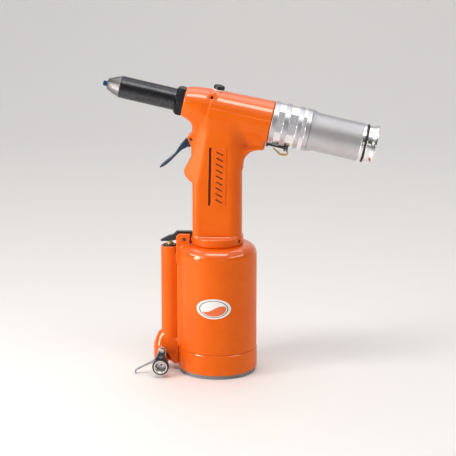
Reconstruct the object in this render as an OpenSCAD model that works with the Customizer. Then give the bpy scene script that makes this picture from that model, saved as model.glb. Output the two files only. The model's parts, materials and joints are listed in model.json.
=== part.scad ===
// Hydro-pneumatic blind riveter with a mandrel collector.
// Origin: centre of the base's resting face. +Z is up, the nose points to -X and the collector to +X.
// The head lies on an axis that passes over the origin at head_z and tips the nose up by head_tilt.
// Places along that axis are called "s": negative towards the nose, positive towards the collector.

/* [Base and air cylinder] */
// Outer radius of the air cylinder
cylinder_r = 39.5; // [39:0.1:40]
// Bore radius of the air cylinder
cylinder_bore_r = 34; // [33:0.1:35]
// Height of the cylinder's top face
cylinder_top = 132; // [131:0.5:134]
// Height of the seam between the cylinder and its end cap
cap_seam = 25; // [24:0.5:27]
// Radius of the shoulder round the cylinder's top
shoulder_r = 10.5; // [8:0.5:11]

/* [Handle] */
// Depth of the handle, front to back
handle_depth = 48.5; // [48:0.1:49]
// Width of the handle, side to side
handle_width = 34; // [33.5:0.1:36]

/* [Head] */
// Height of the head's axis above the origin
head_z = 268; // [267:0.5:269]
// Nose-up tilt of the head, in degrees
head_tilt = 12.5; // [12:0.1:13]
// Radius of the hydraulic bore
hydraulic_r = 13; // [12.5:0.1:13.5]
// Radius of the nose barrel
barrel_r = 10.9; // [10.8:0.1:11.2]
// Radius of the vacuum ring
ring_r = 21.2; // [20.8:0.1:21.5]
// Radius of the collector tube
collector_r = 19; // [18.8:0.1:19.2]

/* [Motion and fits] */
// Radial clearance of a running fit
fit = 0.05; // [0.02:0.01:0.08]
// Radius of the bore that the rivet mandrel enters
mandrel_r = 1.7; // [1.3:0.1:1.9]
// Radius of the threaded air inlet
inlet_thread_r = 5.7; // [5.6:0.1:5.8]

/* [Hidden] */
$fn = 64;

// Stations along the head's axis
tip_s = -115.6;
nose_face_s = -111;
cone_end_s = -98;
barrel_end_s = -42;
casting_front_s = -33.7;
gland_front_s = -24;
gland_rear_s = -14;
piston_s = -8;
piston_len = 12;
rear_gland_s = 36;
adapter_s = 48;
casting_rear_s = 54.6;
ring_s = 55.2;
ring_end_s = 93.3;
collector_end_s = 148.6;
cap_s = 150.4;
cap_end_s = 160.2;

// Air cylinder and its hydraulic ram
pad_h = 4;
top_wall = 12;
ram_r = 6;
ram_top = 150;
piston_z = 33;
piston_h = 12;
collar_r = 26;
collar_top = 141;
spigot_r = 18;
spigot_z = 114;

// Valve tube beside the cylinder
valve_x = -48;
valve_r = 9;
spool_r = 5;
valve_floor = 42;
valve_top = 129;
inlet_x = -54.7;
bell_r = 10.3;
shank_r = 5;

// Trigger linkage
trigger_pivot = [-25.2, 0, 238.8];
rod_x = -17.5;
rod_bottom = 133.4;
rocker_pivot = [-33, 0, 136.6];
pin_r = 1.5;
ear_gap = 4.2;
fork_r = 2.2;

// Air inlet
port_z = 11.6;
arm_r = 5.6;
arm_y = -27.3;
journal_r = 3.9;
port_face_y = -38;
nut_y = -37.3;
nut_len = 4;
strainer_y = -29.5;
strainer_r = 5;
lever_y = -23;
lever_z = port_z + 11.8;

// Vacuum valve under the ring
vacuum_d = 21.5;
vacuum_half_w = 4;
vacuum_pin_s = 74.9;
vacuum_pin_d = 23.9;
vacuum_pin_r = 0.8;

// Handle, head and what is fixed to them
handle_front = -24;
handle_back = handle_front + handle_depth;
facet_slope = 0.6;
head_r_rear = 20.6;
hanger = [-4, 281.6];
plug_s = -2.6;
plug_seat = 18.9;
screw_angle = -28;
screw_z = 136.5;
panel_lean = 1.3;
adapter_r = 17;

// ---- helpers ----

// Points of an arc from angle a0 to a1 about c
function arc(c, r, a0, a1, steps = 10) =
    [for (i = [0:steps]) c + r * [cos(a0 + (a1 - a0) * i / steps), sin(a0 + (a1 - a0) * i / steps)]];

// Points of an ellipse with half sizes a and b
function ellipse(a, b, steps = 48) =
    [for (i = [0:steps - 1]) [a * cos(360 * i / steps), b * sin(360 * i / steps)]];

// Puts children on the head's axis at station s, with their +Z pointing to the rear and their +X down
module on_head(s = 0) {
    translate([0, 0, head_z]) rotate([0, 90 + head_tilt, 0]) translate([0, 0, s]) children();
}

// Extrudes a side outline drawn in X and Z to the given width, centred on Y
module side_plate(width) {
    rotate([90, 0, 0]) linear_extrude(width, center = true) children();
}

// Cylinder along Y between two depths
module cross_pin(x, z, r, y0, y1) {
    translate([x, y1, z]) rotate([90, 0, 0]) cylinder(r = r, h = y1 - y0);
}

module sleeve(r_out, r_in, h) {
    difference() {
        cylinder(r = r_out, h = h);
        translate([0, 0, -1]) cylinder(r = r_in, h = h + 2);
    }
}

module seal_ring(r_mid, r_section) {
    rotate_extrude() translate([r_mid, 0]) circle(r = r_section, $fn = 32);
}

// Plan of the grip: flat sides, facets that narrow it from facet_x forward, and round rear corners
module grip_plan(front, facet_x, back, back_r) {
    half_w = handle_width / 2;
    front_w = half_w - facet_slope * (facet_x - front);
    polygon(concat(
        [[front, front_w], [front, -front_w], [facet_x, -half_w]],
        arc([back - back_r, back_r - half_w], back_r, -90, 0),
        arc([back - back_r, half_w - back_r], back_r, 0, 90),
        [[facet_x, half_w]]
    ));
}

// Closed helical coil of round wire, standing on Z = wire radius
module coil(r, wire_r, h, turns) {
    sides = 6;
    per_turn = 12;
    rings = turns * per_turn;
    climb = h - 2 * wire_r;
    points = [
        for (i = [0:rings])
            for (j = [0:sides - 1])
                let (a = 360 * i / per_turn, b = 360 * j / sides, q = r + wire_r * cos(b))
                    [q * cos(a), q * sin(a), wire_r + climb * i / rings + wire_r * sin(b)]
    ];
    skin = [
        for (i = [0:rings - 1])
            for (j = [0:sides - 1])
                let (k = (j + 1) % sides)
                    [i * sides + j, i * sides + k, (i + 1) * sides + k, (i + 1) * sides + j]
    ];
    first = [for (j = [sides - 1:-1:0]) j];
    last = [for (j = [0:sides - 1]) rings * sides + j];
    polyhedron(points, concat(skin, [first, last]));
}

// ---- base and air cylinder ----

module base_pad() {
    color("dimgray") {
        cylinder(r = cylinder_r - 1.2, h = pad_h);
        cylinder(r = 20, h = pad_h + 2);
    }
}

module cylinder_cap() {
    spigot_top = cap_seam + 7;
    color("darkorange") difference() {
        union() {
            translate([0, 0, pad_h]) cylinder(r = cylinder_r + 0.4, h = cap_seam - pad_h);
            cylinder_spigot(cylinder_bore_r - 0.1, spigot_top);
        }
        translate([0, 0, pad_h - 1]) cylinder(r = 20.1, h = 3);
        translate([0, 0, pad_h + 6]) cylinder(r = 27, h = spigot_top);
        translate([0, 0, cap_seam + 3]) seal_ring(cylinder_bore_r - 1.1, 1.1);
    }
}

module cylinder_spigot(r, top) {
    translate([0, 0, pad_h + 1]) cylinder(r = r, h = top - pad_h - 1);
}

module cap_seal() {
    color("black") translate([0, 0, cap_seam + 3]) seal_ring(cylinder_bore_r - 1.1, 1);
}

module air_cylinder() {
    bore_len = cylinder_top - top_wall - cap_seam + 1;
    color("darkorange") difference() {
        union() {
            cylinder_shell();
            valve_tube();
            inlet_bell();
            rocker_ears();
        }
        translate([0, 0, cap_seam - 1]) cylinder(r = cylinder_bore_r, h = bore_len);
        translate([0, 0, cylinder_top - top_wall - 1]) cylinder(r = spigot_r + 0.1, h = top_wall + 2);
        translate([valve_x, 0, valve_floor]) cylinder(r = spool_r + fit, h = valve_top);
        translate([valve_x, 0, valve_top - 10]) cylinder(r = 7, h = 12);
        elbow_socket();
        bell_mouth();
        air_port();
        translate([rocker_pivot.x, 0, 0]) cross_pin(0, rocker_pivot.z, pin_r, -12, 12);
        rocker_gap();
        translate([0, 0, -1]) cylinder(r = cylinder_r + 0.7, h = cap_seam + 1);
    }
}

// Plain cylinder with a torus shoulder and the flat top inside it
module cylinder_shell() {
    translate([0, 0, cap_seam]) cylinder(r = cylinder_r, h = cylinder_top - shoulder_r - cap_seam);
    translate([0, 0, cap_seam]) cylinder(r = cylinder_r - shoulder_r, h = cylinder_top - cap_seam);
    translate([0, 0, cylinder_top - shoulder_r]) seal_ring(cylinder_r - shoulder_r, shoulder_r);
}

// Tall valve tube, webbed to the cylinder's side
module valve_tube() {
    translate([valve_x, 0, 20]) cylinder(r = valve_r, h = valve_top - 20);
    translate([valve_x, -valve_r + 2, 26]) cube([14, 2 * valve_r - 4, valve_top - 34]);
    translate([valve_x + 8, -14, 26]) cube([8, 28, 88]);
}

// Bell round the inlet elbow at the tube's foot
module inlet_bell() {
    translate([inlet_x, 0, 5]) cylinder(r = bell_r, h = 20);
    translate([inlet_x, 0, 25]) cylinder(r1 = bell_r, r2 = 5, h = 14);
    translate([inlet_x + 4, -8, 6]) cube([16, 16, 26]);
}

// Two ears that carry the rocker's pin
module rocker_ears() {
    ear_w = 8.2 - 3.2;
    for (y = [-8.2, 3.2]) {
        translate([-41, y, 112]) cube([14, ear_w, 26]);
        translate([-37, y, 112]) cube([10, ear_w, 30]);
        cross_pin(-37, 138, 4, y, y + ear_w);
    }
    translate([-41, -8.2, 112]) cube([8, 16.4, 16]);
}

// Clear space between the ears for the rocker's travel
module rocker_gap() {
    translate([-43, -3.2, 129]) cube([20, 6.4, 20]);
}

// Bore for the elbow's shank, with room for its body below
module elbow_socket() {
    translate([inlet_x, 0, 2]) cylinder(r = 7.6, h = 19);
    translate([inlet_x, 0, 20]) cylinder(r = shank_r + fit, h = 15.5);
}

// Open front of the bell, a pointed arch with a high left foot and a low right foot
module bell_mouth() {
    translate([inlet_x, -11, 0]) side_plate(22)
        polygon([[-8.3, 0], [-8.3, 12.5], [-1.5, 21.5], [2, 21.5], [10.2, 7], [10.2, 0]]);
}

// Drilled way from the elbow's bore up into the valve's bore
module air_port() {
    translate([inlet_x + 1, 0, 33]) rotate([0, 24, 0]) cylinder(r = 2, h = 14);
}

module air_piston() {
    color("silver") difference() {
        translate([0, 0, piston_z]) cylinder(r = cylinder_bore_r - fit, h = piston_h);
        translate([0, 0, piston_z - 1]) cylinder(r = 4.1, h = piston_h + 2);
        translate([0, 0, piston_z + piston_h - 6]) cylinder(r = ram_r + 0.05, h = 7);
        translate([0, 0, piston_z + piston_h / 2]) seal_ring(cylinder_bore_r - 1.6, 1.9);
    }
}

module air_piston_seal() {
    color("black") translate([0, 0, piston_z + piston_h / 2]) seal_ring(cylinder_bore_r - 1.7, 1.6);
}

module ram_rod() {
    step_z = piston_z + piston_h - 6;
    color("lightgray") {
        translate([0, 0, step_z]) cylinder(r = ram_r, h = ram_top - step_z - 1);
        translate([0, 0, ram_top - 1]) cylinder(r1 = ram_r, r2 = ram_r - 1, h = 1);
        translate([0, 0, piston_z - 8]) cylinder(r = 4, h = step_z - piston_z + 8);
    }
}

module ram_nut() {
    color("gray") translate([0, 0, piston_z - 6.5]) difference() {
        cylinder(r = 7.5, h = 6.5, $fn = 6);
        translate([0, 0, -1]) cylinder(r = 4.1, h = 9);
    }
}

module ram_gland() {
    color("goldenrod") translate([0, 0, spigot_z]) sleeve(12.4, ram_r + fit, 18);
}

module cylinder_ring_nut() {
    color("gray") translate([0, 0, spigot_z]) difference() {
        cylinder(r = 25, h = cylinder_top - top_wall - spigot_z - 0.05);
        translate([0, 0, -1]) cylinder(r = spigot_r + 0.05, h = 9);
        for (a = [45:90:315]) {
            rotate(a) translate([23, -2, -1]) cube([4, 4, 9]);
        }
    }
}

// ---- body casting: head, handle and collar in one ----

module body_casting() {
    color("darkorange") difference() {
        union() {
            head_shell();
            keel();
            rear_fillet();
            handle_column();
            finger_rest();
            trigger_cheeks();
            front_throat();
            collar();
            hanger_boss();
            plug_boss();
        }
        head_bores();
        handle_bores();
        trigger_slot();
        handle_grooves();
        rocker_slot();
        hanger_holes();
        set_screw_hole();
    }
}

// Turned outside of the head, widening to the rear
module head_shell() {
    on_head() rotate_extrude() polygon([
        [0, casting_front_s], [14.3, casting_front_s], [14.8, casting_front_s + 1], [16.2, -28],
        [17.7, -21], [18.3, -12], [18.7, 5], [head_r_rear, casting_rear_s - 1],
        [head_r_rear - 0.6, casting_rear_s], [0, casting_rear_s]
    ]);
}

// Section across the head: a narrower keel hangs under the round head
module keel_section(drop) {
    circle(r = 18.2);
    translate([drop, 0]) circle(r = 8.5);
    polygon([[4, -17.6], [4, 17.6], [drop + 3.6, 7.6], [drop + 3.6, -7.6]]);
}

// Keel of the head, cut to the side outline that runs into the handle's back
module keel() {
    fillet_r = 12;
    corner = [handle_back + fillet_r, 216];
    intersection() {
        on_head(-6) linear_extrude(casting_rear_s + 6) keel_section(22);
        side_plate(60) polygon(concat(
            [[handle_front, 212], [handle_back, 212]],
            arc(corner, fillet_r, 180, 90),
            [[46.3, 228], [70, 320], [handle_front, 320]]
        ));
    }
}

// Wide fillet between the keel's underside and the handle's back
module rear_fillet() {
    fillet_r = 19.5;
    side_plate(17) polygon(concat(
        [[handle_back - 6, 209.5]],
        arc([handle_back + fillet_r, 209.5], fillet_r, 180, 90),
        [[handle_back + fillet_r, 232], [handle_back - 6, 232]]
    ));
}

// Handle, ending where its flat sides run into the head's round ones
module handle_column() {
    merge_d = 8;
    intersection() {
        translate([0, 0, collar_top - 2]) linear_extrude(140)
            grip_plan(handle_front, -17, handle_back, 13);
        on_head(-100) translate([merge_d, -40, 0]) cube([200, 80, 200]);
    }
}

// Finger rest bulging from the handle's front
module finger_rest() {
    intersection() {
        side_plate(handle_width) polygon(concat(
            [[-12, 231], [-24.6, 226], [-25.4, 221.6]],
            arc([-25.5, 206], 7.4, 150, 215, 8),
            [[-26.9, 197.2], [-24, 196.2], [-12, 194]]
        ));
        translate([0, 0, 190]) linear_extrude(45) grip_plan(-34, -14, 10, 2);
    }
}

// Cheeks on both sides of the trigger, with the pin through them
module trigger_cheeks() {
    side_plate(19) polygon([
        [-12, 247.5], [-22.8, 247.5], [-25.8, 243.9], [-29.6, 240.8], [-27.6, 236.6],
        [-25.4, 231.7], [-24.2, 226], [-12, 226]
    ]);
}

// Hollow curve that joins the head's underside to the trigger's cheeks
module front_throat() {
    side_plate(22) polygon(concat(
        [[-12, 245], [-22.6, 245.5]],
        arc([-34.4, 249.4], 11.8, -5, 62, 10),
        [[-32, 262.5], [-12, 270]]
    ));
}

module collar() {
    translate([0, 0, cylinder_top]) cylinder(r = collar_r, h = collar_top - cylinder_top - 1);
    translate([0, 0, collar_top - 1]) cylinder(r1 = collar_r, r2 = collar_r - 1, h = 1);
    translate([0, 0, spigot_z]) cylinder(r = spigot_r, h = cylinder_top - spigot_z + 1);
}

module hanger_boss() {
    cross_pin(hanger.x, hanger.y, 4.2, -14.2, 14.2);
}

module hanger_holes() {
    for (y = [-20, 9.5]) {
        cross_pin(hanger.x, hanger.y, 1.5, y, y + 10.5);
    }
}

// Flat spot for the oil plug on top of the head
module plug_boss() {
    on_head(plug_s) rotate([0, -90, 0]) cylinder(r = 7.6, h = plug_seat);
}

module head_bores() {
    on_head(casting_front_s - 1) cylinder(r = 9.65, h = gland_front_s - casting_front_s + 2);
    on_head(gland_front_s) cylinder(r = hydraulic_r, h = rear_gland_s - gland_front_s + 1);
    on_head(rear_gland_s) cylinder(r = 15.1, h = 30);
    on_head(plug_s) rotate([0, -90, 0]) cylinder(r = 3.1, h = 30);
}

// Oil way up the handle, with a wider seat for the ram's gland in the spigot
module handle_bores() {
    translate([0, 0, spigot_z - 1]) cylinder(r = 12.5, h = 19.2);
    translate([0, 0, spigot_z]) cylinder(r = 8, h = head_z - spigot_z);
    translate([rod_x, 0, collar_top]) cylinder(r = 2.3, h = 100);
}

module trigger_slot() {
    translate([-40, -ear_gap, 228.5]) cube([26, 2 * ear_gap, 18]);
    cross_pin(trigger_pivot.x, trigger_pivot.z, pin_r, -20, 20);
}

// Long shallow groove down each side of the handle
module handle_grooves() {
    groove_w = 1.9;
    groove_depth = 1.6;
    groove_len = 58.8;
    for (side = [-1, 1]) {
        translate([-6.2, side * handle_width / 2, 203.2]) rotate([0, panel_lean, 0])
            cube([groove_w, 2 * groove_depth, groove_len], center = true);
    }
}

// Slot in the collar and handle for the rocker's inner arm
module rocker_slot() {
    translate([-40, -3.6, cylinder_top + 0.5]) cube([26.5, 7.2, 14.5]);
}

module set_screw_hole() {
    translate([0, 0, screw_z]) rotate(screw_angle) rotate([0, 90, 0]) cylinder(r = 2.05, h = 40);
}

module collar_set_screw() {
    color("dimgray") translate([0, 0, screw_z]) rotate(screw_angle)
        translate([16, 0, 0]) rotate([0, 90, 0]) difference() {
            cylinder(r = 2, h = 9);
            translate([0, 0, 6.5]) cylinder(r = 1.15, h = 3, $fn = 6);
        }
}

// Raised panel with slanting ribs on both sides of the handle
module grip_panels() {
    panel_w = 14;
    panel_h = 58;
    panel_t = 0.6;
    rib_pitch = 6;
    color("orange") for (side = [-1, 1]) {
        translate([3, side * (handle_width + panel_t) / 2, 202.7]) rotate([0, panel_lean, 0]) {
            cube([panel_w, panel_t, panel_h], center = true);
            for (i = [-4:4]) {
                translate([0, side * panel_t, rib_pitch * i]) rotate([0, 28, 0])
                    cube([7.2, panel_t, 1.2], center = true);
            }
        }
    }
}

// Blank oval badge that follows the cylinder's curve
module oval_badge() {
    color("white") intersection() {
        translate([0, 0, 50]) difference() {
            cylinder(r = cylinder_r + 0.5, h = 50);
            translate([0, 0, -1]) cylinder(r = cylinder_r, h = 52);
        }
        translate([-1, -20, 73.8]) rotate([90, 0, 0]) linear_extrude(30) polygon(ellipse(17.2, 10.3));
    }
}

// ---- trigger and valve linkage ----

module trigger() {
    p = [trigger_pivot.x, trigger_pivot.z];
    color("slategray") difference() {
        union() {
            cross_pin(p.x, p.y, 4, -ear_gap + 0.3, ear_gap - 0.3);
            cross_pin(rod_x, p.y, fork_r, -ear_gap + 0.3, ear_gap - 0.3);
            side_plate(2 * ear_gap - 0.6) polygon([
                [p.x - 6.5, p.y - 1.5], [p.x - 2, p.y + 3.2], [p.x + 2, p.y + 3.2], [p.x + 3.6, p.y + 1.7],
                [rod_x, p.y + fork_r], [rod_x, p.y - fork_r], [p.x + 3, p.y - 3.9],
                [p.x - 1.5, p.y - 8.5], [p.x - 6, p.y - 9]
            ]);
            side_plate(12) polygon([
                [-31.2, 238.2], [-35.8, 233.2], [-39.8, 227.2], [-43.8, 221.8], [-52.8, 214.2],
                [-57, 210.4], [-56.6, 209.6], [-51.8, 212.4], [-45.8, 217.6], [-37.2, 226.4],
                [-33, 228.9], [-30.6, 229.4]
            ]);
        }
        cross_pin(p.x, p.y, pin_r + fit, -10, 10);
        translate([rod_x - 2.8, -2.1, p.y - 6]) cube([8, 4.2, 14]);
    }
}

module trigger_pin() {
    color([0.12, 0.12, 0.13]) cross_pin(trigger_pivot.x, trigger_pivot.z, pin_r, -9.3, 9.3);
}

// Pull rod: a head above the trigger's fork and another under the rocker's arm
module trigger_rod() {
    head_h = 2;
    top_head_z = trigger_pivot.z + fork_r + 0.3;
    color("lightgray") translate([rod_x, 0, 0]) {
        translate([0, 0, rod_bottom]) cylinder(r = 3, h = 2.4);
        translate([0, 0, rod_bottom]) cylinder(r = 1.5, h = top_head_z - rod_bottom);
        translate([0, 0, top_head_z]) cylinder(r = 3, h = head_h);
    }
}

module valve_rocker() {
    color([0.08, 0.08, 0.09]) difference() {
        side_plate(5.6) polygon([
            [-13.8, 137], [-13.8, 140.2], [-20, 142], [-27, 143.8], [-41, 143.6], [-45, 140],
            [-50, 138.4], [-57.4, 134.4], [-56.8, 133.1], [-46, 133.7], [-40, 135], [-36, 132.6],
            [-30, 132.8], [-27.5, 137]
        ]);
        cross_pin(rocker_pivot.x, rocker_pivot.z, pin_r + fit, -5, 5);
        translate([rod_x, 0, 130]) cylinder(r = 2.1, h = 20);
    }
}

module rocker_pin() {
    color([0.12, 0.12, 0.13]) cross_pin(rocker_pivot.x, rocker_pivot.z, pin_r, -8.6, 8.6);
}

module valve_bush() {
    color([0.12, 0.12, 0.13]) translate([valve_x, 0, valve_top - 10]) {
        sleeve(6.95, spool_r - 2 + fit, 10);
        translate([0, 0, 10]) sleeve(6.4, spool_r - 2 + fit, 1);
    }
}

// Spool with three lands, a stem and a button under the rocker
module valve_spool() {
    land_r = spool_r;
    floor_z = valve_floor + 16;
    color("goldenrod") translate([valve_x, 0, 0]) difference() {
        union() {
            translate([0, 0, floor_z]) cylinder(r = 3, h = 132.6 - floor_z);
            for (z = [floor_z, floor_z + 24, floor_z + 50]) {
                translate([0, 0, z]) cylinder(r = land_r, h = 8);
            }
        }
        for (z = [floor_z + 4, floor_z + 28, floor_z + 54]) {
            translate([0, 0, z]) seal_ring(land_r - 0.8, 0.85);
        }
    }
}

module spool_seals() {
    color("black") for (z = [4, 28, 54]) {
        translate([valve_x, 0, valve_floor + 16 + z]) seal_ring(spool_r - 0.8, 0.8);
    }
}

module valve_spring() {
    color("silver") translate([valve_x, 0, valve_floor]) coil(3.6, 0.6, 15.9, 6);
}

// ---- air inlet ----

// Elbow with a vertical shank, a level arm and the block that holds the shut-off plug
module inlet_elbow() {
    color("gainsboro") difference() {
        union() {
            translate([inlet_x, 0, port_z]) sphere(r = 7);
            translate([inlet_x, 0, port_z]) cylinder(r = shank_r, h = 34.5 - port_z);
            cross_pin(inlet_x, port_z, arm_r, arm_y, 0);
            translate([inlet_x - 4, -20.5, port_z]) cube([8, 7, lever_z - port_z]);
            cross_pin(inlet_x, lever_z, 4, -20.5, -13.5);
        }
        translate([inlet_x, 0, port_z]) cylinder(r = 2.5, h = 30);
        cross_pin(inlet_x, port_z, 2.5, -40, 0);
        cross_pin(inlet_x, port_z, journal_r + fit, -40, arm_y + 7);
        cross_pin(inlet_x, lever_z, 2 + fit, -40, -11);
        translate([inlet_x, 0, 29]) seal_ring(shank_r - 0.8, 0.85);
    }
}

module elbow_seal() {
    color("black") translate([inlet_x, 0, 29]) seal_ring(shank_r - 0.8, 0.8);
}

// Black clamp nut with two ears on top
module inlet_nut() {
    color([0.08, 0.08, 0.09]) difference() {
        union() {
            cross_pin(inlet_x, port_z, 8.4, nut_y, nut_y + nut_len);
            cross_pin(inlet_x - 3.2, port_z + 8.2, 2.1, nut_y + 0.5, nut_y + nut_len - 0.5);
            cross_pin(inlet_x + 3, port_z + 8.2, 2.6, nut_y + 0.5, nut_y + nut_len - 0.5);
        }
        cross_pin(inlet_x, port_z, 6.85, -40, -20);
    }
}

// Threaded connector whose journal turns in the elbow's arm
module inlet_connector() {
    color("gainsboro") difference() {
        union() {
            cross_pin(inlet_x, port_z, 6.8, port_face_y, arm_y - 0.3);
            cross_pin(inlet_x, port_z, journal_r, arm_y - 1, arm_y + 6);
        }
        cross_pin(inlet_x, port_z, inlet_thread_r, port_face_y - 1, strainer_y);
        cross_pin(inlet_x, port_z, strainer_r, port_face_y - 1, strainer_y + 0.8);
        cross_pin(inlet_x, port_z, 2.5, -40, -10);
    }
}

module inlet_strainer() {
    color("darkgray") difference() {
        cross_pin(inlet_x, port_z, strainer_r - 0.05, strainer_y, strainer_y + 0.8);
        cross_pin(inlet_x, port_z, 1, -40, -20);
    }
}

module shutoff_plug() {
    color("gainsboro") {
        cross_pin(inlet_x, lever_z, 2, -25.6, -11.5);
        cross_pin(inlet_x, lever_z, 3.2, -25.6, -24.6);
    }
}

// Steel strip lever that narrows to a bent wire end
module shutoff_lever() {
    color("silver") translate([inlet_x, lever_y, lever_z]) difference() {
        side_plate(2.6) polygon([
            [-2.4, 3.2], [2.6, 2.6], [3.2, -1], [0.6, -3.4], [-6.6, -10.2], [-24.9, -19.6],
            [-25.8, -22.8], [-27.2, -22.6], [-26.4, -18.6], [-8.8, -8.6]
        ]);
        cross_pin(0, 0, 2.02, -5, 5);
    }
}

// ---- nose ----

module nosepiece() {
    color("midnightblue") on_head(tip_s) difference() {
        union() {
            cylinder(r1 = 2, r2 = 2.6, h = 1);
            translate([0, 0, 1]) cylinder(r = 2.6, h = nose_face_s - tip_s - 1);
            translate([0, 0, nose_face_s - tip_s]) cylinder(r = 4, h = 9);
            translate([0, 0, nose_face_s - tip_s + 9]) cylinder(r1 = 4, r2 = 2.4, h = 2.6);
        }
        translate([0, 0, -1]) cylinder(r = mandrel_r, h = 20);
    }
}

module nose_cone() {
    cone_len = cone_end_s - nose_face_s;
    color("gray") on_head(nose_face_s) difference() {
        union() {
            cylinder(r1 = 5.2, r2 = barrel_r - 0.2, h = cone_len);
            translate([0, 0, cone_len]) cylinder(r = 9.2, h = 10);
        }
        translate([0, 0, -1]) cylinder(r = 4.05, h = 12);
        translate([0, 0, 9.5]) cylinder(r1 = 4.2, r2 = 7.9, h = 3.5);
        translate([0, 0, 12.9]) cylinder(r = 7.9, h = 12);
    }
}

module barrel() {
    color([0.2, 0.2, 0.21]) on_head(cone_end_s) difference() {
        union() {
            cylinder(r = barrel_r, h = barrel_end_s - cone_end_s);
            cylinder(r = 9.6, h = gland_front_s - cone_end_s);
        }
        translate([0, 0, -1]) cylinder(r = 9.25, h = 12);
        translate([0, 0, -1]) cylinder(r = 8.2, h = 90);
    }
}

module lock_nut() {
    nut_len = casting_front_s - barrel_end_s;
    color([0.13, 0.13, 0.15]) on_head(barrel_end_s) difference() {
        intersection() {
            rotate(30) cylinder(r = 15.4, h = nut_len, $fn = 6);
            union() {
                cylinder(r1 = 12.6, r2 = 15.4, h = 3);
                translate([0, 0, 3]) cylinder(r = 15.4, h = nut_len - 3);
            }
        }
        translate([0, 0, -1]) cylinder(r = 9.7, h = nut_len + 2);
    }
}

module jaw_case() {
    case_s = -97;
    color("dimgray") on_head(case_s) difference() {
        cylinder(r = 7.4, h = 47);
        translate([0, 0, -1]) cylinder(r = 4.3, h = 4);
        translate([0, 0, 2]) cylinder(r1 = 4.3, r2 = 6, h = 12);
        translate([0, 0, 13.9]) cylinder(r = 6, h = 40);
    }
}

// Three jaws cut from one cone, standing clear of the case's taper
module jaws() {
    color("gray") on_head(-92.6) difference() {
        union() {
            cylinder(r1 = 4.1, r2 = 5.66, h = 11);
            translate([0, 0, 11]) cylinder(r = 5.66, h = 2);
        }
        translate([0, 0, -1]) cylinder(r = 1.9, h = 16);
        for (a = [0:120:240]) {
            rotate(a) translate([0, -0.4, -1]) cube([8, 0.8, 16]);
        }
    }
}

module jaw_pusher() {
    color("silver") on_head(-79.4) difference() {
        union() {
            cylinder(r1 = 4.4, r2 = 5.8, h = 3);
            translate([0, 0, 3]) cylinder(r = 5.8, h = 3);
        }
        translate([0, 0, -1]) cylinder(r = 2.4, h = 8);
    }
}

module jaw_spring() {
    color("silver") on_head(-73.3) coil(4.7, 0.7, 19.2, 6);
}

// ---- hydraulic head ----

module front_gland() {
    color("goldenrod") on_head(gland_front_s) difference() {
        cylinder(r = hydraulic_r - fit, h = gland_rear_s - gland_front_s);
        translate([0, 0, -1]) cylinder(r = 7 + fit, h = 12);
        translate([0, 0, 5]) seal_ring(8.3, 1.35);
    }
}

module gland_seals() {
    color("black") {
        on_head(gland_front_s + 5) seal_ring(8.3, 1.2);
        on_head(rear_gland_s + 6) seal_ring(7.3, 1.2);
    }
}

// Piston with a front rod into the jaw case and a rear tube that passes spent mandrels
module pull_piston() {
    color("lightgray") on_head(piston_s) difference() {
        union() {
            cylinder(r = hydraulic_r - fit, h = piston_len);
            translate([0, 0, -46]) cylinder(r = 5.9, h = 46);
            translate([0, 0, -42]) cylinder(r = 7, h = 42);
            cylinder(r = 6, h = 66);
        }
        translate([0, 0, -50]) cylinder(r = 3, h = 130);
        translate([0, 0, piston_len / 2]) seal_ring(hydraulic_r - 1.4, 1.4);
    }
}

module pull_piston_seal() {
    color("black") on_head(piston_s + piston_len / 2) seal_ring(hydraulic_r - 1.4, 1.35);
}

module return_spring() {
    spring_len = rear_gland_s - piston_s - piston_len - 0.2;
    color("silver") on_head(piston_s + piston_len + 0.1) coil(9.6, 1.3, spring_len, 6);
}

module rear_gland() {
    color("goldenrod") on_head(rear_gland_s) difference() {
        cylinder(r = 15, h = adapter_s - rear_gland_s);
        translate([0, 0, -1]) cylinder(r = 6 + fit, h = 20);
        translate([0, 0, 6]) seal_ring(7.3, 1.35);
    }
}

// ---- collector ----

module collector_adapter() {
    adapter_end = ring_end_s - 4;
    flange_s = casting_rear_s - adapter_s;
    color("silver") on_head(adapter_s) difference() {
        union() {
            cylinder(r = 15, h = 10);
            translate([0, 0, flange_s]) cylinder(r = adapter_r, h = adapter_end - casting_rear_s);
        }
        translate([0, 0, -1]) cylinder(r = 9, h = 60);
        translate([0, 0, 24]) cylinder(r = 14.8, h = 60);
    }
}

// Knurled-by-flats ring: plain ridges with twelve-sided grooves between them
module vacuum_ring() {
    groove_flats_r = ring_r - 0.8;
    // start and end of each groove, from the ring's front face
    grooves = [[5, 11.5], [16.5, 25], [29.5, 33.5]];
    ring_len = ring_end_s - ring_s;
    color("silver") on_head(ring_s) difference() {
        cylinder(r = ring_r, h = ring_len);
        translate([0, 0, -1]) cylinder(r = adapter_r + fit, h = ring_len - 2);
        translate([0, 0, ring_len - 4]) cylinder(r = 15.3, h = 9);
        for (g = grooves) {
            translate([0, 0, g[0]]) difference() {
                cylinder(r = ring_r + 2, h = g[1] - g[0]);
                translate([0, 0, -1]) cylinder(r = groove_flats_r, h = g[1] - g[0] + 2, $fn = 12);
            }
        }
    }
}

module collector_tube() {
    spigot_len = 14;
    flare_len = 6;
    tube_len = collector_end_s - ring_end_s;
    color("gray") on_head(ring_end_s + 0.3) difference() {
        union() {
            translate([0, 0, -spigot_len]) cylinder(r = 14.75, h = spigot_len + 1);
            cylinder(r1 = ring_r - 0.4, r2 = collector_r, h = flare_len);
            translate([0, 0, flare_len]) cylinder(r = collector_r, h = tube_len - flare_len - 0.3);
        }
        translate([0, 0, -spigot_len - 1]) cylinder(r = 12.6, h = spigot_len + 4);
        translate([0, 0, 2]) cylinder(r = collector_r - 1.6, h = tube_len);
    }
}

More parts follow.
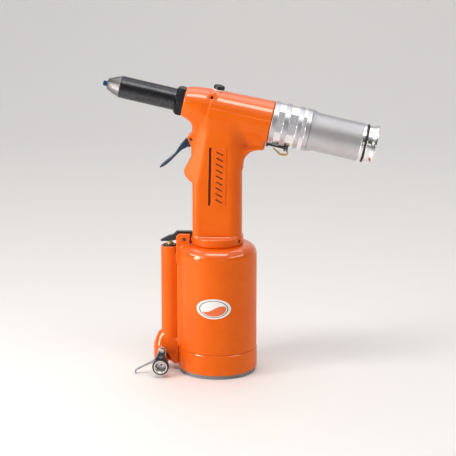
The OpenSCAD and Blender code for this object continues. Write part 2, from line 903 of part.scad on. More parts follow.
module collector_cap() {
    plug_r = collector_r - 1.6 - fit;
    color("gainsboro") on_head(cap_s) difference() {
        union() {
            translate([0, 0, -8]) cylinder(r = plug_r, h = 9);
            cylinder(r = collector_r - 0.3, h = 5);
            translate([0, 0, 5]) cylinder(r1 = collector_r - 0.3, r2 = ring_r - 0.9, h = 2.8);
            translate([0, 0, 7.8]) cylinder(r = ring_r - 0.9, h = cap_end_s - cap_s - 7.8);
        }
        translate([0, 0, -9]) cylinder(r = plug_r - 2, h = 10);
        translate([0, 0, 7]) cylinder(r1 = 14, r2 = 17.5, h = 4);
    }
}

module cap_o_ring() {
    gap = cap_s - collector_end_s;
    color("black") on_head(collector_end_s + 0.15) sleeve(collector_r + 0.1, collector_r - 1.6, gap - 0.3);
}

// ---- oil plug and vacuum valve ----

module on_top(height) {
    on_head(plug_s) rotate([0, -90, 0]) translate([0, 0, height]) children();
}

module oil_plug() {
    color("black") {
        on_top(plug_seat + 0.9) cylinder(r = 5.5, h = 2.6);
        on_top(plug_seat + 3.5) cylinder(r1 = 5.5, r2 = 3.6, h = 1.5);
        on_top(hydraulic_r + 1) cylinder(r = 3, h = plug_seat - hydraulic_r);
    }
}

module oil_plug_washer() {
    color("white") on_top(plug_seat) sleeve(7, 3.1, 0.9);
}

// Cylinder across the vacuum lever's hinge
module hinge_pin(r, half_len) {
    translate([vacuum_pin_d, -half_len, vacuum_pin_s]) rotate([-90, 0, 0]) cylinder(r = r, h = 2 * half_len);
}

// Thin black bar behind the keel, under the ring, with two ears at its rear end
module vacuum_valve_body() {
    bar_t = 1.8;
    ear_w = 1;
    foot_s = casting_rear_s + 0.02;
    ear_s = vacuum_pin_s - 2.3;
    bar_end = vacuum_pin_s + 1.9;
    slot_w = vacuum_half_w - ear_w;
    color([0.08, 0.08, 0.09]) on_head() difference() {
        union() {
            translate([vacuum_d, -vacuum_half_w, foot_s]) cube([bar_t, 2 * vacuum_half_w, bar_end - foot_s]);
            translate([vacuum_d, -vacuum_half_w, foot_s]) cube([3, 2 * vacuum_half_w, 2]);
            for (y = [-vacuum_half_w, slot_w]) {
                translate([vacuum_d, y, ear_s]) cube([3.6, ear_w, bar_end - ear_s]);
            }
        }
        translate([vacuum_d - 1, -slot_w, ear_s - 1]) cube([4, 2 * slot_w, 8]);
        hinge_pin(vacuum_pin_r, 10);
    }
}

// Brass thumb lever, a strip bent back under itself from the hinge to a pointed end
module vacuum_valve_lever() {
    lever_w = 5.2;
    eye_r = 1.7;
    color("gold") on_head() difference() {
        union() {
            hinge_pin(eye_r, lever_w / 2);
            translate([0, lever_w / 2, 0]) rotate([90, 0, 0]) linear_extrude(lever_w) polygon([
                [23.2, 76.2], [27.8, 78.3], [29.6, 77.3], [30.9, 71.4], [30.4, 69.6], [25.4, 61.7],
                [25, 62.3], [28.9, 69.9], [29.4, 71.4], [28.4, 76], [27.5, 76.8], [25.2, 75.6]
            ]);
        }
        hinge_pin(vacuum_pin_r + fit, 10);
    }
}

module vacuum_valve_pin() {
    color("lightgray") on_head() hinge_pin(vacuum_pin_r, vacuum_half_w + 0.2);
}

base_pad();
cylinder_cap();
cap_seal();
air_cylinder();
air_piston();
air_piston_seal();
ram_rod();
ram_nut();
ram_gland();
cylinder_ring_nut();
body_casting();
grip_panels();
oval_badge();
collar_set_screw();
trigger();
trigger_pin();
trigger_rod();
valve_rocker();
rocker_pin();
valve_bush();
valve_spool();
spool_seals();
valve_spring();
inlet_elbow();
elbow_seal();
inlet_nut();
inlet_connector();
inlet_strainer();
shutoff_plug();
shutoff_lever();
nosepiece();
nose_cone();
barrel();
lock_nut();
jaw_case();
jaws();
jaw_pusher();
jaw_spring();
front_gland();
gland_seals();
pull_piston();
pull_piston_seal();
return_spring();
rear_gland();
collector_adapter();
vacuum_ring();
collector_tube();
collector_cap();
cap_o_ring();
oil_plug();
oil_plug_washer();
vacuum_valve_body();
vacuum_valve_lever();
vacuum_valve_pin();
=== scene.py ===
"""Looks of a hydro-pneumatic blind riveter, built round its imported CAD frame."""
import json
import math
import bmesh
import bpy
import numpy as np
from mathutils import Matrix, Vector


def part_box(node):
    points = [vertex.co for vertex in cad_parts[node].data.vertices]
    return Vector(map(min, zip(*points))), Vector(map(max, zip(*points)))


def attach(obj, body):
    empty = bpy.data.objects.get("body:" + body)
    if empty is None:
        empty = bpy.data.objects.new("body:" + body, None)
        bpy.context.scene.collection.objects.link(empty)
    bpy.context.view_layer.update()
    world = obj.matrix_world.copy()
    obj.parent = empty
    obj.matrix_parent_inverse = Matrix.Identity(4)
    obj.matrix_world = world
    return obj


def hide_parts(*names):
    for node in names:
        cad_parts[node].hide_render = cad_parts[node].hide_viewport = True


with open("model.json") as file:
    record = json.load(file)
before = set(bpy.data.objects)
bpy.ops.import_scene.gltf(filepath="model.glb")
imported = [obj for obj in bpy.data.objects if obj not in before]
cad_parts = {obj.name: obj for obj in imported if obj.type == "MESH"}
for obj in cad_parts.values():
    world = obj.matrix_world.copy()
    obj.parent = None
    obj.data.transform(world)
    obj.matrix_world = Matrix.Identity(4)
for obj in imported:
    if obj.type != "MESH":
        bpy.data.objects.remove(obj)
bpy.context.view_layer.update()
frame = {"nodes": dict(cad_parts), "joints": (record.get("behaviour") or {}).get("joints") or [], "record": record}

MM = 0.001

# ---- where things are, read from the frame ----

RECORD = frame["record"]
BODY_OF = {node: body for body, nodes in RECORD["behaviour"]["bodies"].items() for node in nodes}
SLOT_OF = {part["node"]: part["material_slot"] for part in RECORD["subparts"]}
JOINTS = {joint["name"]: joint for joint in frame["joints"]}
HEAD_AXIS = np.array(JOINTS["ring_turn"]["axis"]) / np.linalg.norm(JOINTS["ring_turn"]["axis"])
HEAD_DOWN = np.array([HEAD_AXIS[2], 0.0, -HEAD_AXIS[0]])
HEAD_SIDE = np.array([0.0, 1.0, 0.0])
RING_PLACE = np.array(JOINTS["ring_turn"]["pos_m"]) / MM
HEAD_ORIGIN = RING_PLACE - HEAD_AXIS * (RING_PLACE[0] / HEAD_AXIS[0])
HEAD_TURN = (0.0, math.asin(-HEAD_AXIS[2]), 0.0)


def head_coords(points):
    """Station, drop and side of points, in millimetres, in the tilted head's own frame."""
    rel = points - HEAD_ORIGIN
    return rel @ HEAD_AXIS, rel @ HEAD_DOWN, rel @ HEAD_SIDE


def head_point(station, drop=0.0):
    """A place in the head's middle plane, in millimetres in the frame's own axes."""
    return HEAD_ORIGIN + station * HEAD_AXIS + drop * HEAD_DOWN


def hinge_place(joint):
    """Where a side-to-side hinge lies in the side view, in millimetres."""
    x, _, z = JOINTS[joint]["pos_m"]
    return round(x / MM, 3), round(z / MM, 3)


TRIGGER_PIVOT = hinge_place("trigger_pull")
ROCKER_PIVOT = hinge_place("rocker_tilt")
INLET_X, INLET_Z = hinge_place("inlet_turn")
SHUTOFF_PIVOT = hinge_place("shutoff_turn")

# ---- sizes and places, in millimetres; along the head they are stations ----

HANDLE_FRONT, HANDLE_BACK, HANDLE_HALF_W = -24.0, 24.5, 17.0
GROOVE_X, GROOVE_Z, GROOVE_LEAN = -6.2, 203.2, math.tan(math.radians(1.3))
GROOVE_HALF_W, GROOVE_HALF_LEN, GROOVE_DEPTH = 1.0, 28.4, 1.6
COLLAR_TOP, CYLINDER_TOP, SEAM = 141.0, 132.0, 25.0
CYLINDER_R, CYLINDER_BORE_R, SHOULDER_R = 39.5, 34.0, 10.5
SPIGOT_R, SPIGOT_FLOOR = 18.0, 114.0
PIN_R, ROD_X, VALVE_X = 1.5, -17.5, -48.0
HANGER = (-4.0, 281.6)
SET_SCREW_Z, SET_SCREW_TURN = 136.5, math.radians(-28)
PLUG_STATION, PLUG_SEAT = -2.6, 18.9
KEEL_TOP_R, KEEL_LOW_R, KEEL_DROP = 18.2, 8.5, 22.0
TIP, NOSE_FACE, CONE_END, BARREL_END, CASTING_FRONT = -115.6, -111.0, -98.0, -42.0, -33.7
GLAND_FRONT, CASTING_REAR, RING_START, RING_END = -24.0, 54.6, 55.2, 93.3
TUBE_START, TUBE_END, CAP_START, CAP_END = RING_END + 0.3, 148.3, 150.4, 160.2
BARREL_R, COLLECTOR_R, RING_R = 10.9, 19.0, 21.2
DETAIL = 1.0


# ---- solid shapes as signed distances, in millimetres ----

def box2(u, v, rounding):
    """Distance of a rectangle from its two edge distances, with rounded corners."""
    u = u + rounding
    v = v + rounding
    return np.hypot(np.maximum(u, 0), np.maximum(v, 0)) + np.minimum(np.maximum(u, v), 0) - rounding


def rod(points, start, end, radius, rounding=0.3):
    """Straight round bar between two points."""
    start, end = np.array(start, float), np.array(end, float)
    length = np.linalg.norm(end - start)
    axis = (end - start) / length
    rel = points - start
    along = rel @ axis
    across = np.linalg.norm(rel - along[:, None] * axis, axis=1)
    return box2(across - radius, np.abs(along - length / 2) - length / 2, rounding)


def outline(x, z, corners):
    """Distance to a closed polygon in the side view."""
    corners = np.array(corners, float)
    following = np.roll(corners, -1, axis=0)
    nearest = np.full(len(x), 1e18)
    inside = np.zeros(len(x), bool)
    for (x0, z0), (x1, z1) in zip(corners, following):
        ex, ez = x1 - x0, z1 - z0
        wx, wz = x - x0, z - z0
        t = np.clip((wx * ex + wz * ez) / (ex * ex + ez * ez), 0, 1)
        nearest = np.minimum(nearest, (wx - t * ex) ** 2 + (wz - t * ez) ** 2)
        if z0 != z1:
            crosses = (z0 > z) != (z1 > z)
            inside ^= crosses & (x < ex * (z - z0) / ez + x0)
    return np.where(inside, -1, 1) * np.sqrt(nearest)


def plate(points, corners, low_y, high_y, rounding=1.0):
    """Side outline given thickness between two depths, with rounded edges."""
    flat = outline(points[:, 0], points[:, 2], corners)
    deep = np.abs(points[:, 1] - (low_y + high_y) / 2) - (high_y - low_y) / 2
    return box2(flat, deep, rounding)


def block(points, low, high, rounding=0.5):
    """Box between two corners, with rounded edges."""
    low, high = np.array(low, float), np.array(high, float)
    q = np.abs(points - (low + high) / 2) - (high - low) / 2 + rounding
    return np.linalg.norm(np.maximum(q, 0), axis=1) + np.minimum(q.max(axis=1), 0) - rounding


def turned(points, profile, rounding=1.0):
    """Head-axis solid of revolution from (station, radius) pairs."""
    station, drop, side = head_coords(points)
    stations, radii = zip(*profile)
    across = np.hypot(drop, side) - np.interp(station, stations, radii)
    middle, half = (stations[0] + stations[-1]) / 2, (stations[-1] - stations[0]) / 2
    return box2(across, np.abs(station - middle) - half, rounding)


def join(a, b, radius):
    """Union with a fillet."""
    h = np.maximum(radius - np.abs(a - b), 0) / radius
    return np.minimum(a, b) - h * h * radius / 4


def carve(a, b, radius=0.5):
    """a without b, with a softened rim."""
    return -join(-a, b, radius)


def common(a, b, radius):
    """What a and b share, with a softened edge."""
    return -join(-a, -b, radius)


def arc(centre, radius, start, end, steps=10):
    """Outline points along an arc, angles in degrees."""
    angles = np.radians(np.linspace(start, end, steps + 1))
    return [(centre[0] + radius * math.cos(a), centre[1] + radius * math.sin(a)) for a in angles]


def spline(points, closed=False, per_span=6):
    """Smooth outline through given points (Catmull-Rom)."""
    pts = [np.array(p, float) for p in points]
    count = len(pts)
    out = []
    for i in range(count if closed else count - 1):
        around = range(i - 1, i + 3)
        a, b, c, d = (pts[k % count if closed else min(max(k, 0), count - 1)] for k in around)
        for k in range(per_span):
            t = k / per_span
            out.append(0.5 * (2 * b + (c - a) * t + (2 * a - 5 * b + 4 * c - d) * t ** 2
                              + (3 * b - a - 3 * c + d) * t ** 3))
    if not closed:
        out.append(pts[-1])
    return [tuple(p) for p in out]


def surface_of(shape, low, high, step):
    """Quad mesh of a distance function's zero surface: one vertex per crossed cell, then pulled onto it."""
    group = 4
    low = np.array(low, float) - 2 * step
    cells = np.ceil((np.array(high) + 2 * step - low) / (step * group)).astype(int)
    coarse_axes = [low[k] + (np.arange(cells[k]) + 0.5) * step * group - step / 2 for k in range(3)]
    coarse_points = np.stack(np.meshgrid(*coarse_axes, indexing="ij"), -1).reshape(-1, 3)
    coarse = shape(coarse_points).reshape(cells)
    axes = [low[k] + np.arange(cells[k] * group) * step for k in range(3)]
    values = coarse.repeat(group, 0).repeat(group, 1).repeat(group, 2)
    near = np.abs(values) < 1.7 * step * group
    points = np.stack([axis[index] for axis, index in zip(axes, np.nonzero(near))], -1)
    values[near] = shape(points)
    inside = values < 0

    total = np.zeros(tuple(n - 1 for n in values.shape) + (3,))
    count = np.zeros(total.shape[:3])
    for axis in range(3):
        for i in (0, 1):
            for j in (0, 1):
                first, second = np.insert([i, j], axis, 0), np.insert([i, j], axis, 1)
                a = values[tuple(slice(f, f + n) for f, n in zip(first, total.shape))]
                b = values[tuple(slice(f, f + n) for f, n in zip(second, total.shape))]
                crossed = (a < 0) != (b < 0)
                t = np.where(crossed, a / np.where(crossed, a - b, 1), 0)
                for k in range(3):
                    total[..., k] += np.where(crossed, t if k == axis else first[k], 0)
                count += crossed
    used = count > 0
    number = np.full(used.shape, -1)
    number[used] = np.arange(used.sum())
    corner = np.stack(np.nonzero(used), -1)
    verts = low + (corner + total[used] / count[used][:, None]) * step

    quads = []
    for axis in range(3):
        u, v = [k for k in range(3) if k != axis]
        lo = [slice(1, -1)] * 3
        hi = [slice(1, -1)] * 3
        lo[axis], hi[axis] = slice(0, -1), slice(1, None)
        a, b = inside[tuple(lo)], inside[tuple(hi)]
        for rising in (True, False):
            found = np.stack(np.nonzero(a & ~b if rising else ~a & b), -1)
            base = found + 1
            base[:, axis] -= 1
            ring = []
            for du, dv in ((-1, -1), (0, -1), (0, 0), (-1, 0)):
                cell = base.copy()
                cell[:, u] += du
                cell[:, v] += dv
                ring.append(number[tuple(cell.T)])
            ring = np.stack(ring, -1)
            if rising == (axis == 1):
                ring = ring[:, ::-1]
            quads.append(ring)
    quads = np.concatenate(quads)

    def slope(at):
        nudge = 0.05 * step
        rise = [shape(at + nudge * e) - shape(at - nudge * e) for e in np.eye(3)]
        gradient = np.stack(rise, -1) / (2 * nudge)
        return gradient / np.maximum(np.linalg.norm(gradient, axis=1), 1e-9)[:, None]

    for _ in range(2):
        pull = np.clip(shape(verts), -0.35 * step, 0.35 * step)
        verts = verts - slope(verts) * pull[:, None]
    return verts, quads, slope(verts)


# ---- mesh pieces ----

def add_piece(name, verts, faces, normals=None):
    """Puts a closed mesh, given in millimetres, in the scene."""
    mesh = bpy.data.meshes.new(name)
    faces = faces.tolist() if isinstance(faces, np.ndarray) else faces
    mesh.from_pydata((np.asarray(verts) * MM).tolist(), [], faces)
    work = bmesh.new()
    work.from_mesh(mesh)
    bmesh.ops.recalc_face_normals(work, faces=work.faces)
    work.to_mesh(mesh)
    work.free()
    mesh.shade_smooth()
    if normals is not None:
        mesh.normals_split_custom_set_from_vertices(normals.tolist())
    piece = bpy.data.objects.new(name, mesh)
    bpy.context.scene.collection.objects.link(piece)
    return piece


def mark_sharp(mesh, degrees):
    """Keeps crisp shading on edges that turn by more than the angle."""
    mesh.update()
    normals = [p.normal for p in mesh.polygons]
    users = {}
    for polygon in mesh.polygons:
        for key in polygon.edge_keys:
            users.setdefault(key, []).append(polygon.index)
    limit = math.radians(degrees)
    for edge in mesh.edges:
        sides = users.get(tuple(sorted(edge.vertices)), [])
        if len(sides) == 2 and normals[sides[0]].angle(normals[sides[1]], 0) > limit:
            edge.use_edge_sharp = True


def moulded(name, shape, node, step):
    """Piece from a distance function, within its CAD node's box."""
    low, high = (np.array(corner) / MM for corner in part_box(node))
    verts, quads, normals = surface_of(shape, low, high, step * DETAIL)
    return add_piece(name, verts, quads, normals)


def lathe(name, profile, frame_of, sides=96, flats=None):
    """Turned piece from a closed (place, radius) outline; frame_of(place) is a centre and two cross axes."""
    verts = []
    rows = []
    for place, radius in profile:
        centre, across, up = frame_of(place)
        steps = 1 if radius == 0 else sides
        rows.append([len(verts) + k % steps for k in range(sides)])
        for k in range(steps):
            angle = 2 * math.pi * k / sides
            r = radius if flats is None else flats(place, radius, angle)
            verts.append(centre + r * (math.cos(angle) * across + math.sin(angle) * up))
    faces = []
    for row, following in zip(rows, rows[1:] + rows[:1]):
        for k in range(sides):
            m = (k + 1) % sides
            corners = list(dict.fromkeys((row[k], following[k], following[m], row[m])))
            if len(corners) > 2:
                faces.append(corners)
    piece = add_piece(name, verts, faces)
    mark_sharp(piece.data, 28)
    return piece


def on_head_axis(station):
    return head_point(station), HEAD_DOWN, HEAD_SIDE


def put(piece, node, material=None):
    """Lets a finished piece stand for a CAD node, on its body and in its slot; the look may be its own."""
    piece.data.materials.append(material or SLOT_LOOKS[SLOT_OF[node]])
    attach(piece, BODY_OF[node])
    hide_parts(node)


# ---- materials ----

class Shader:
    """Short-hand for building one procedural material round a Principled shader."""

    def __init__(self, name, colour, metallic=0.0, roughness=0.4, **sockets):
        self.material = bpy.data.materials.new(name)
        self.material.use_nodes = True
        self.tree = self.material.node_tree
        self.shader = self.tree.nodes["Principled BSDF"]
        self.colour = colour
        self.roughness = roughness
        self.set("Base Color", (*colour, 1.0))
        self.set("Metallic", metallic)
        self.set("Roughness", roughness)
        for key, value in sockets.items():
            self.set(key.replace("_", " "), value)
        self.paint = self.gloss = self.height = None

    def set(self, socket, value):
        self.shader.inputs[socket].default_value = value

    def node(self, kind, inputs=None, **settings):
        made = self.tree.nodes.new(kind)
        for key, value in settings.items():
            setattr(made, key, value)
        for key, value in (inputs or {}).items():
            if isinstance(value, bpy.types.NodeSocket):
                self.tree.links.new(value, made.inputs[key])
            else:
                made.inputs[key].default_value = value
        return made

    def place(self, stretch=(1, 1, 1), rotation=(0, 0, 0), centre=(0, 0, 0)):
        """Object coordinates, turned, and then stretched along the turned axes."""
        coords = self.node("ShaderNodeTexCoord").outputs["Object"]
        settings = {"Vector": coords, "Scale": stretch, "Rotation": rotation, "Location": centre}
        return self.node("ShaderNodeMapping", settings, vector_type="TEXTURE").outputs["Vector"]

    def noise(self, where, scale, detail=3.0, rough=0.5):
        inputs = {"Vector": where, "Scale": scale, "Detail": detail, "Roughness": rough}
        return self.node("ShaderNodeTexNoise", inputs).outputs["Fac"]

    def ramp(self, value, low, high, to_low=0.0, to_high=1.0):
        inputs = {"Value": value, "From Min": low, "From Max": high, "To Min": to_low, "To Max": to_high}
        return self.node("ShaderNodeMapRange", inputs).outputs["Result"]

    def maths(self, operation, a, b=0.0):
        return self.node("ShaderNodeMath", {0: a, 1: b}, operation=operation).outputs[0]

    def tint(self, amount, colour):
        """Lays a colour over the paint where amount is high."""
        below = self.paint if self.paint is not None else (*self.colour, 1.0)
        first_colour, second_colour, mixed_colour = 6, 7, 2
        inputs = {"Factor": amount, first_colour: below, second_colour: (*colour, 1.0)}
        self.paint = self.node("ShaderNodeMix", inputs, data_type="RGBA").outputs[mixed_colour]

    def roughen(self, amount, change):
        """Raises or lowers the roughness where amount is high."""
        scaled = self.maths("MULTIPLY", amount, change)
        self.gloss = self.maths("ADD", self.gloss if self.gloss is not None else self.roughness, scaled)

    def bump(self, value, strength, depth):
        """Adds relief; depth is in metres."""
        inputs = {"Height": value, "Strength": strength, "Distance": depth}
        if self.height is not None:
            inputs["Normal"] = self.height
        self.height = self.node("ShaderNodeBump", inputs).outputs["Normal"]

    def done(self):
        results = {"Base Color": self.paint, "Roughness": self.gloss, "Normal": self.height}
        for socket, result in results.items():
            if result is not None:
                self.tree.links.new(result, self.shader.inputs[socket])
        return self.material


def crease_painted_shade(shader, colour):
    """Paints shade into grooves and inner corners: darker orange where the surface turns inward."""
    pointed = shader.node("ShaderNodeNewGeometry").outputs["Pointiness"]
    shader.tint(shader.ramp(pointed, 0.49, 0.44, 0.0, 0.8), colour)


def edge_wear_and_highlight(shader, colour, low=0.53, high=0.6, share=0.5):
    """Lightens convex edges: bare worn edges on the metal and black finishes, a painted highlight on the enamel
    and the trigger.
    """
    pointed = shader.node("ShaderNodeNewGeometry").outputs["Pointiness"]
    patches = shader.ramp(shader.noise(shader.place(), 300.0, 4.0, 0.6), 0.35, 0.7, 0.0, share)
    shader.tint(shader.maths("MULTIPLY", shader.ramp(pointed, low, high), patches), colour)


ORANGE, LIGHT_ORANGE, DEEP_ORANGE = (0.87, 0.12, 0.0), (0.93, 0.18, 0.005), (0.72, 0.088, 0.0)
ENAMEL_ROUGHNESS = 0.36
ENAMEL_GLOSS = {"Specular_IOR_Level": 0.65, "Specular_Tint": (1.0, 0.55, 0.25, 1.0), "Coat_IOR": 1.8,
                "Coat_Roughness": 0.05}


def flowed_coat(shader):
    """Clear coat that is thin on upright faces and full on the shoulders, where the enamel pooled."""
    normal = shader.node("ShaderNodeNewGeometry").outputs["Normal"]
    rise = shader.node("ShaderNodeSeparateXYZ", {"Vector": normal}).outputs["Z"]
    weight = shader.ramp(rise, 0.1, 0.3, 0.04, 1.0)
    shader.tree.links.new(weight, shader.shader.inputs["Coat Weight"])


def enamel(name, groove_shade=False):
    """Glossy enamel over a casting: slow shade changes, faint orange peel and a few dust specks."""
    s = Shader(name, ORANGE, 0.0, ENAMEL_ROUGHNESS, **ENAMEL_GLOSS)
    where = s.place()
    s.tint(s.ramp(s.noise(where, 22.0, 2.0), 0.35, 0.7, 0.0, 0.35), LIGHT_ORANGE)
    s.tint(s.ramp(s.noise(where, 60.0, 5.0, 0.65), 0.52, 0.75, 0.0, 0.35), DEEP_ORANGE)
    specks = s.ramp(s.noise(where, 1400.0, 2.0), 0.71, 0.76)
    s.tint(s.maths("MULTIPLY", specks, 0.3), DEEP_ORANGE)
    s.roughen(s.noise(where, 140.0, 4.0), 0.12)
    s.bump(s.noise(where, 420.0, 2.0), 0.12, 0.0006)
    s.bump(s.noise(where, 70.0, 2.0), 0.10, 0.0015)
    # painted shade: deep orange darkening in grooves and inner corners
    crease_painted_shade(s, tuple(0.35 * c for c in DEEP_ORANGE))
    # painted highlight: lighter orange along convex edges
    edge_wear_and_highlight(s, LIGHT_ORANGE, 0.52, 0.58, 0.6)
    flowed_coat(s)
    # painted shade in the grip's side grooves
    if groove_shade:
        paint_groove_shade(s)
    return s.done()


def paint_groove_shade(shader):
    """Paints shade into the upright groove in each side of the grip."""
    axes = shader.node("ShaderNodeSeparateXYZ", {"Vector": shader.place()}).outputs
    depth = shader.maths("ABSOLUTE", axes["Y"])
    rise = shader.maths("SUBTRACT", axes["Z"], GROOVE_Z * MM)
    leaning = shader.maths("MULTIPLY", rise, GROOVE_LEAN)
    across = shader.maths("SUBTRACT", shader.maths("SUBTRACT", axes["X"], GROOVE_X * MM), leaning)
    rim, fade = 0.2, 0.2
    end = GROOVE_HALF_LEN + GROOVE_HALF_W + rim
    outer, inner = HANDLE_HALF_W - 2 * rim, HANDLE_HALF_W - GROOVE_DEPTH - 1.4
    inside = 1.0
    for distance, shade_edge, blend in ((shader.maths("ABSOLUTE", across), GROOVE_HALF_W + rim, fade),
                                   (shader.maths("ABSOLUTE", rise), end, fade),
                                   (depth, outer, fade), (depth, inner, -fade)):
        mask = shader.ramp(distance, (shade_edge + blend) * MM, shade_edge * MM)
        inside = shader.maths("MULTIPLY", mask, inside)
    # painted shade: near-black brown over the groove's floor and walls
    shader.tint(inside, (0.09, 0.016, 0.006))


def turned_metal(name, colour, roughness, ring_scale, ring_strength, worn=None, tilt=True):
    """Metal with fine lathe rings about the head's axis, or about the upright axis."""
    s = Shader(name, colour, 1.0, roughness)
    stretch = (1.0, 60.0, 60.0) if tilt else (60.0, 60.0, 1.0)
    rings = s.noise(s.place(stretch, HEAD_TURN if tilt else (0, 0, 0)), ring_scale, 2.0, 0.7)
    s.bump(rings, ring_strength, 0.0004)
    s.roughen(rings, 0.14)
    blotches = s.noise(s.place(), 55.0, 5.0, 0.6)
    s.tint(s.ramp(blotches, 0.45, 0.75, 0.0, 0.35), tuple(0.72 * c for c in colour))
    s.roughen(blotches, 0.08)
    if worn:
        edge_wear_and_highlight(s, worn)
    return s.done()


def brushed_metal(name, colour, roughness, worn=None, stretch=(30.0, 1.0, 1.0)):
    """Plate or bar metal with straight polishing lines."""
    s = Shader(name, colour, 1.0, roughness)
    lines = s.noise(s.place(stretch), 1500.0, 3.0, 0.6)
    s.bump(lines, 0.08, 0.0003)
    s.roughen(lines, 0.12)
    s.tint(s.ramp(s.noise(s.place(), 90.0, 4.0), 0.45, 0.75, 0.0, 0.3), tuple(0.65 * c for c in colour))
    # worn is the edge colour: bare metal on most finishes, a painted highlight on the trigger
    if worn:
        edge_wear_and_highlight(s, worn)
    return s.done()


def soft_rubber(name, colour, roughness):
    """Moulded rubber: dusty, with a fine matt grain."""
    s = Shader(name, colour, 0.0, roughness, IOR=1.5)
    where = s.place()
    dust = tuple(min(1, 1.5 * c + 0.012) for c in colour)
    s.tint(s.ramp(s.noise(where, 120.0, 5.0, 0.6), 0.45, 0.8, 0.0, 0.4), dust)
    s.bump(s.noise(where, 2200.0, 2.0), 0.25, 0.0003)
    s.roughen(s.noise(where, 200.0, 3.0), 0.12)
    return s.done()


def gloss_black(name):
    """Semi-gloss black enamel or oxide finish with bare, worn edges."""
    s = Shader(name, (0.007, 0.007, 0.01), 0.0, 0.22, Coat_Weight=0.4, Coat_Roughness=0.15)
    where = s.place()
    s.tint(s.ramp(s.noise(where, 160.0, 5.0, 0.6), 0.5, 0.8, 0.0, 0.3), (0.02, 0.02, 0.024))
    s.bump(s.noise(where, 900.0, 2.0), 0.12, 0.0004)
    s.roughen(s.noise(where, 300.0, 3.0), 0.15)
    edge_wear_and_highlight(s, (0.12, 0.12, 0.125), 0.55, 0.65, 0.5)
    return s.done()


def badge_print(name, centre, half_w, half_h):
    """Blank oval badge: white rim, thin dark line, and two plain colour fields parted by a wave."""
    s = Shader(name, (0.9, 0.9, 0.88), 0.0, 0.32, Coat_Weight=0.3, Coat_Roughness=0.1)
    where = s.place((half_w, 1.0, half_h), (0, 0, 0), centre)
    axes = s.node("ShaderNodeSeparateXYZ", {"Vector": where})
    x, z = axes.outputs["X"], axes.outputs["Z"]
    squares = s.maths("ADD", s.maths("MULTIPLY", x, x), s.maths("MULTIPLY", z, z))
    radius = s.maths("SQRT", squares)
    wave = s.maths("MULTIPLY", s.maths("SINE", s.maths("MULTIPLY", x, 3.1)), 0.3)
    below = s.ramp(s.maths("SUBTRACT", wave, z), -0.02, 0.02)
    field = s.maths("MULTIPLY", below, s.ramp(radius, 0.74, 0.71))
    s.tint(field, (0.86, 0.16, 0.03))
    line = s.maths("MULTIPLY", s.ramp(radius, 0.78, 0.8), s.ramp(radius, 0.855, 0.835))
    s.tint(line, (0.03, 0.03, 0.03))
    grain = s.noise(s.place(), 700.0, 3.0)
    s.roughen(grain, 0.15)
    s.bump(grain, 0.05, 0.0003)
    return s.done()


def inked_enamel(name, ink, low, high):
    """Enamel whose parts that stand proudest from the middle plane are inked dark."""
    s = Shader(name, ORANGE, 0.0, ENAMEL_ROUGHNESS, **ENAMEL_GLOSS)
    where = s.place()
    s.tint(s.ramp(s.noise(where, 60.0, 4.0), 0.4, 0.75, 0.0, 0.3), LIGHT_ORANGE)
    depth = s.node("ShaderNodeSeparateXYZ", {"Vector": where}).outputs["Y"]
    worn = s.ramp(s.noise(where, 500.0, 3.0), 0.3, 0.5, 0.75, 1.0)
    s.tint(s.maths("MULTIPLY", s.ramp(s.maths("ABSOLUTE", depth), low, high), worn), ink)
    s.bump(s.noise(where, 420.0, 2.0), 0.12, 0.0006)
    s.roughen(s.noise(where, 140.0, 4.0), 0.12)
    flowed_coat(s)
    return s.done()


def pale_floor(name):
    """Plain studio floor with the faintest unevenness."""
    s = Shader(name, (0.9, 0.885, 0.87), 0.0, 0.55)
    where = s.place()
    s.tint(s.ramp(s.noise(where, 3.0, 3.0), 0.3, 0.8, 0.0, 0.3), (0.93, 0.9, 0.88))
    s.bump(s.noise(where, 180.0, 3.0), 0.04, 0.001)
    return s.done()


GRIP_ENAMEL = enamel("orange_enamel_grooved", groove_shade=True)
RIB_ENAMEL = inked_enamel("inked_orange_enamel", (0.06, 0.012, 0.004), 0.0177, 0.0178)
BLACK_ENAMEL = gloss_black("black_enamel")
NUT_STEEL = turned_metal("black_nut_steel", (0.03, 0.031, 0.036), 0.2, 700.0, 0.06, (0.4, 0.41, 0.43))
TIP_STEEL = turned_metal("blued_tip_steel", (0.02, 0.07, 0.16), 0.25, 900.0, 0.1, (0.4, 0.45, 0.5))
LEVER_STEEL = brushed_metal("lever_steel", (0.36, 0.37, 0.4), 0.25, (0.7, 0.7, 0.72))
POLISHED = turned_metal("polished_aluminium", (0.86, 0.85, 0.87), 0.1, 500.0, 0.05, (0.95, 0.95, 0.95))
SATIN_RIDGE = turned_metal("satin_ridge_aluminium", (0.62, 0.61, 0.66), 0.3, 900.0, 0.08)

